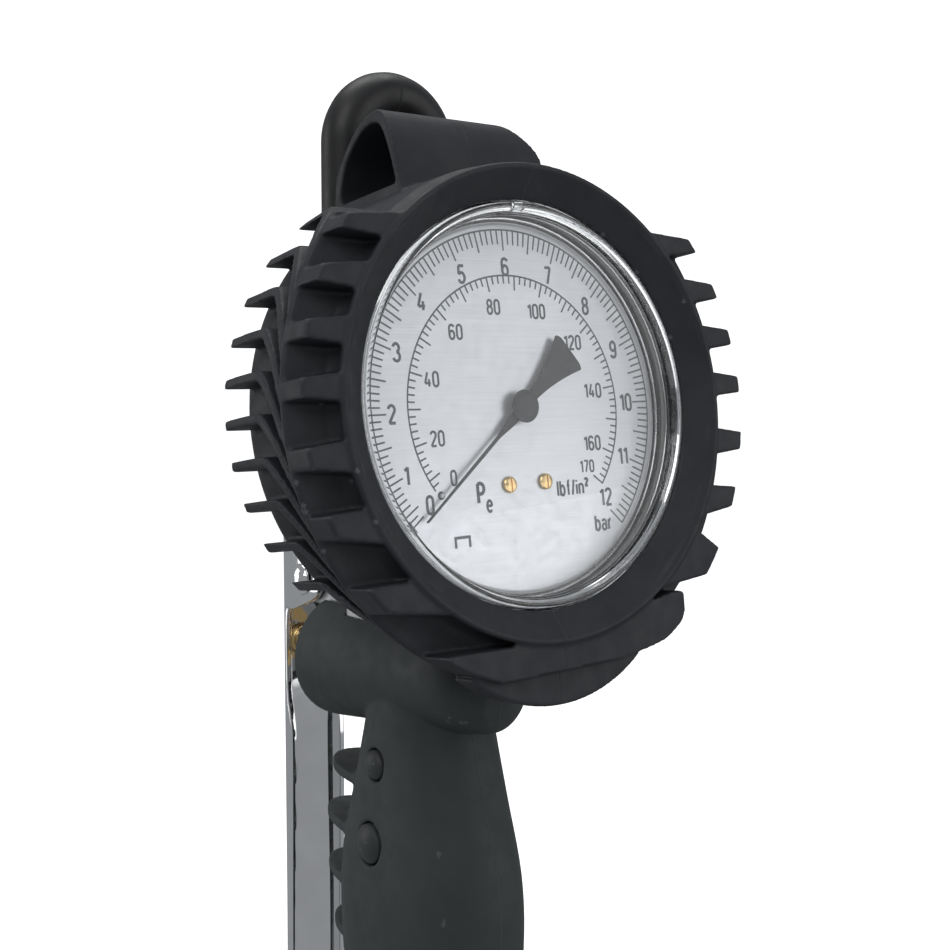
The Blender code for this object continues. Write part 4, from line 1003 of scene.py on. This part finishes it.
def valve():
    stem = [(0, 78.2), (1.5, 78.1), (3.0, 77.75), (4.0, 77.0), (4.0, BUTTON_BACK), (2.4, BUTTON_BACK),
            (2.4, 36.0), (1.6, 36.0), (1.6, 32.2), (2.8, 32.2), (2.8, 31.0), (0, 31.0)]
    centre = (0, 0, BARREL_Z)
    show("plunger_stem", lathe(rounded(stem, 0.35, 3), centre=centre, steps=64), MODEL, "valve_plunger",
         "brass")
    start = CAP_FACE + GAP + SPRING_WIRE
    length = BUTTON_BACK - CAP_FACE - 2 * (GAP + SPRING_WIRE)
    count = 160
    coil = []
    for index in range(count + 1):
        share = index / count
        angle = math.tau * SPRING_TURNS * share
        coil.append((SPRING_R * math.cos(angle), start + length * share,
                     BARREL_Z + SPRING_R * math.sin(angle)))
    spring = show("return_spring", tube(coil, SPRING_WIRE, 3), MODEL, "valve_spring", "steel", angle=60)
    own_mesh(spring)


# ---------------------------------------------------------------- grip and lever

def grip_sleeve():
    rings = [[(x, depth, height + z) for x, z in superellipse(half_x, half_z, 2.0, 128)]
             for depth, height, half_x, half_z in smooth_line(SLEEVE_SECTIONS, 4)]
    sections = [[(x, HANDLE_Y + y, z) for x, y in superellipse(half_x, half_y, HANDLE_POWER, 96)]
                for z, half_x, half_y in smooth_line(HANDLE_SECTIONS, 5)]
    ribs = []
    for index, tip in enumerate(RIB_TIPS):
        height = RIB_TOP - index * RIB_PITCH
        plan = [(x * RIB_HALF, RIB_ROOT + y * (tip - RIB_ROOT)) for x, y in arc(1.0, 0, 180, 33)]
        ribs.append(prism([plan], height - RIB_THICK / 2, height + RIB_THICK / 2, "XY"))
    half_x, half_y = (half + GAP for half in CORE_HALF)
    sides = [(BARREL_R + GAP, 80)] + [(radius + GAP, depth) for radius, depth in BARREL_TAPER]
    nose = BARREL_FRONT - GAP
    void = [(0, 80), *sides, (sides[-1][0], nose), (0, nose)]
    cuts = [lathe(void, centre=(0, 0, BARREL_Z), steps=96),
            box((-half_x, HANDLE_Y - half_y, -210), (half_x, HANDLE_Y + half_y, BARREL_Z)),
            cylinder(9.9, -210, -179.7, "Z", (0, HANDLE_Y, 0)),
            box((-8.3, 31.7, BARREL_Z), (8.3, 50.3, -38)),
            box((-5.7, 46, BARREL_Z), (5.7, 80, -38))]
    for height, radius, _ in PLUGS.values():
        cuts.append(cylinder(radius + GAP, -30, 30, "X", (0, PLUG_Y, height)))
    body = shaped(loft(rings), [loft(sections), *ribs], cuts)
    show("grip", moulded(body, 0.4, 5, FACE_SHARE), MODEL, "grip_sleeve", "grip_rubber", angle=80)


def grip_plugs():
    for level, (height, radius, face) in PLUGS.items():
        dome = [(0, face + 1.5), (radius * 0.35, face + 1.42), (radius * 0.62, face + 1.1),
                (radius * 0.85, face + 0.6), (radius * 0.97, face + 0.15), (radius, face - 0.4),
                (radius, 8.7), (0, 8.7)]
        for side, axis in (("left", "-X"), ("right", "X")):
            node = "grip_plug_" + level + "_" + side
            plug = lathe(rounded(dome, 0.5), axis, (0, PLUG_Y, height), 64)
            show(node + "_fine", plug, MODEL, node, "plug_rubber", angle=50)


def lever_section(height, back, front):
    """Channel section, open towards the grip, with rounded corners at the web."""
    half = LEVER_HALF
    inner = half - LEVER_SHEET
    web = back - LEVER_SHEET
    corner = arc(LEVER_BEND, 0, 90, 9, (half - LEVER_BEND, back - LEVER_BEND))
    inside_bend = LEVER_BEND - LEVER_SHEET
    inside_corner = arc(inside_bend, 90, 0, 5, (inner - inside_bend, web - inside_bend))
    right = [(half, min(front, back - LEVER_BEND - 0.4)), *corner]
    inside = [*inside_corner, (inner, min(front, web - inside_bend - 0.15))]
    outline = right + [(-x, y) for x, y in right[::-1]]
    outline += [(-x, y) for x, y in inside[::-1]] + inside
    return [(x, y, height) for x, y in rounded(outline, LEVER_EDGE, 3, True)]


def trigger_lever():
    sections = [lever_section(*section) for section in smooth_line(LEVER_SECTIONS, 4)]
    hole = cylinder(2.3, -20, 20, "X", tuple(LEVER_PIVOT), 32)
    show("lever", shaped(loft(sections), cut=[hole]), MODEL, "trigger_lever", "chrome", angle=40)


def lever_pin():
    head = [(0, 9.5), (1.2, 9.43), (2.2, 9.15), (3.0, 8.7), (3.55, 8.15), (3.75, 7.75), (3.6, 7.55),
            (2.0, 7.55)]
    profile = head + [(radius, -x) for radius, x in head[::-1]]
    show("pin", lathe(rounded(profile, 0.25, 3), "X", tuple(LEVER_PIVOT), 64), MODEL, "lever_pin", "chrome")


# ---------------------------------------------------------------- stage, light and camera

def stage_material(name, glow):
    """Pale and even; part of its brightness is its own, so that it stays white far from the lights."""
    material = plain(name, (0.80, 0.80, 0.80), 0.9, Emission_Color=(1.0, 1.0, 1.0, 1.0))
    material.node_tree.nodes["Principled BSDF"].inputs["Emission Strength"].default_value = glow
    tone = ranged(material, noise(material, 3, 2), 0.3, 0.7, 0, 1)
    connect(material, mixed(material, tone, (0.79, 0.79, 0.79), (0.81, 0.81, 0.81)), "Base Color")
    return material


def stage():
    """A pale floor and a pale dome round it, neither of which lights the object."""
    bpy.ops.mesh.primitive_circle_add(vertices=64, radius=STAGE_R, fill_type="NGON",
                                      location=(0, 0, cad_box[0].z - 0.0005))
    ground = bpy.context.object
    ground.name = "floor"
    ground.data.materials.append(stage_material("floor", 0.86))
    bpy.ops.mesh.primitive_uv_sphere_add(segments=48, ring_count=24, radius=STAGE_R)
    dome = bpy.context.object
    dome.name = "backdrop"
    dome.data.materials.append(stage_material("backdrop", 1.0))
    dome.visible_shadow = False
    for obj in (ground, dome):
        obj.visible_diffuse = False
        obj.visible_glossy = False
    dome.visible_transmission = False


def softbox(name, spot_from, size, radiance, colour=(1, 1, 1)):
    """A rectangular light of an even brightness that faces the dial's centre."""
    data = bpy.data.lights.new(name, "AREA")
    data.shape = "RECTANGLE"
    data.size, data.size_y = size
    data.energy = math.pi * size[0] * size[1] * radiance
    data.color = colour
    obj = bpy.data.objects.new(name, data)
    bpy.context.scene.collection.objects.link(obj)
    obj.location = DIAL_CENTRE + Vector(spot_from)
    obj.rotation_euler = (-Vector(spot_from)).to_track_quat("-Z", "Y").to_euler()


def lights():
    world = bpy.data.worlds.new("studio")
    world.use_nodes = True
    world.node_tree.nodes["Background"].inputs["Color"].default_value = (0.93, 0.96, 1.0, 1.0)
    world.node_tree.nodes["Background"].inputs["Strength"].default_value = 0.30
    bpy.context.scene.world = world
    softbox("front_right", (0.62, -0.82, 0.14), (0.95, 0.95), 0.95)
    softbox("key_left", (-0.60, -0.35, 0.55), (0.5, 0.5), 2.6)
    softbox("top", (0.10, 0.20, 0.80), (0.7, 0.5), 2.6)
    softbox("back_left", (-0.75, 0.75, 0.10), (0.5, 0.8), 1.4)


def camera():
    """Stands left of the gauge's front, a little above it."""
    data = bpy.data.cameras.new("camera")
    data.lens = 52.29
    data.sensor_width = 36.0
    data.clip_start = 0.01
    data.clip_end = 100
    obj = bpy.data.objects.new("camera", data)
    bpy.context.scene.collection.objects.link(obj)
    obj.location = DIAL_CENTRE + Vector((-0.165562, -0.205911, 0.006972))
    obj.rotation_euler = (math.radians(90 - 4.32), 0.0, math.radians(-37.04))
    bpy.context.scene.camera = obj


MATERIALS = make_materials()
dress_cad_nodes()
gauge_boot()
gauge_case()
gauge_lens()
dial_plate()
dial_marks()
dial_fixings()
pointer()
valve_body()
hanging_hook()
fittings()
valve()
grip_sleeve()
grip_plugs()
trigger_lever()
lever_pin()
stage()
lights()
camera()
bpy.context.scene.view_settings.view_transform = "Standard"
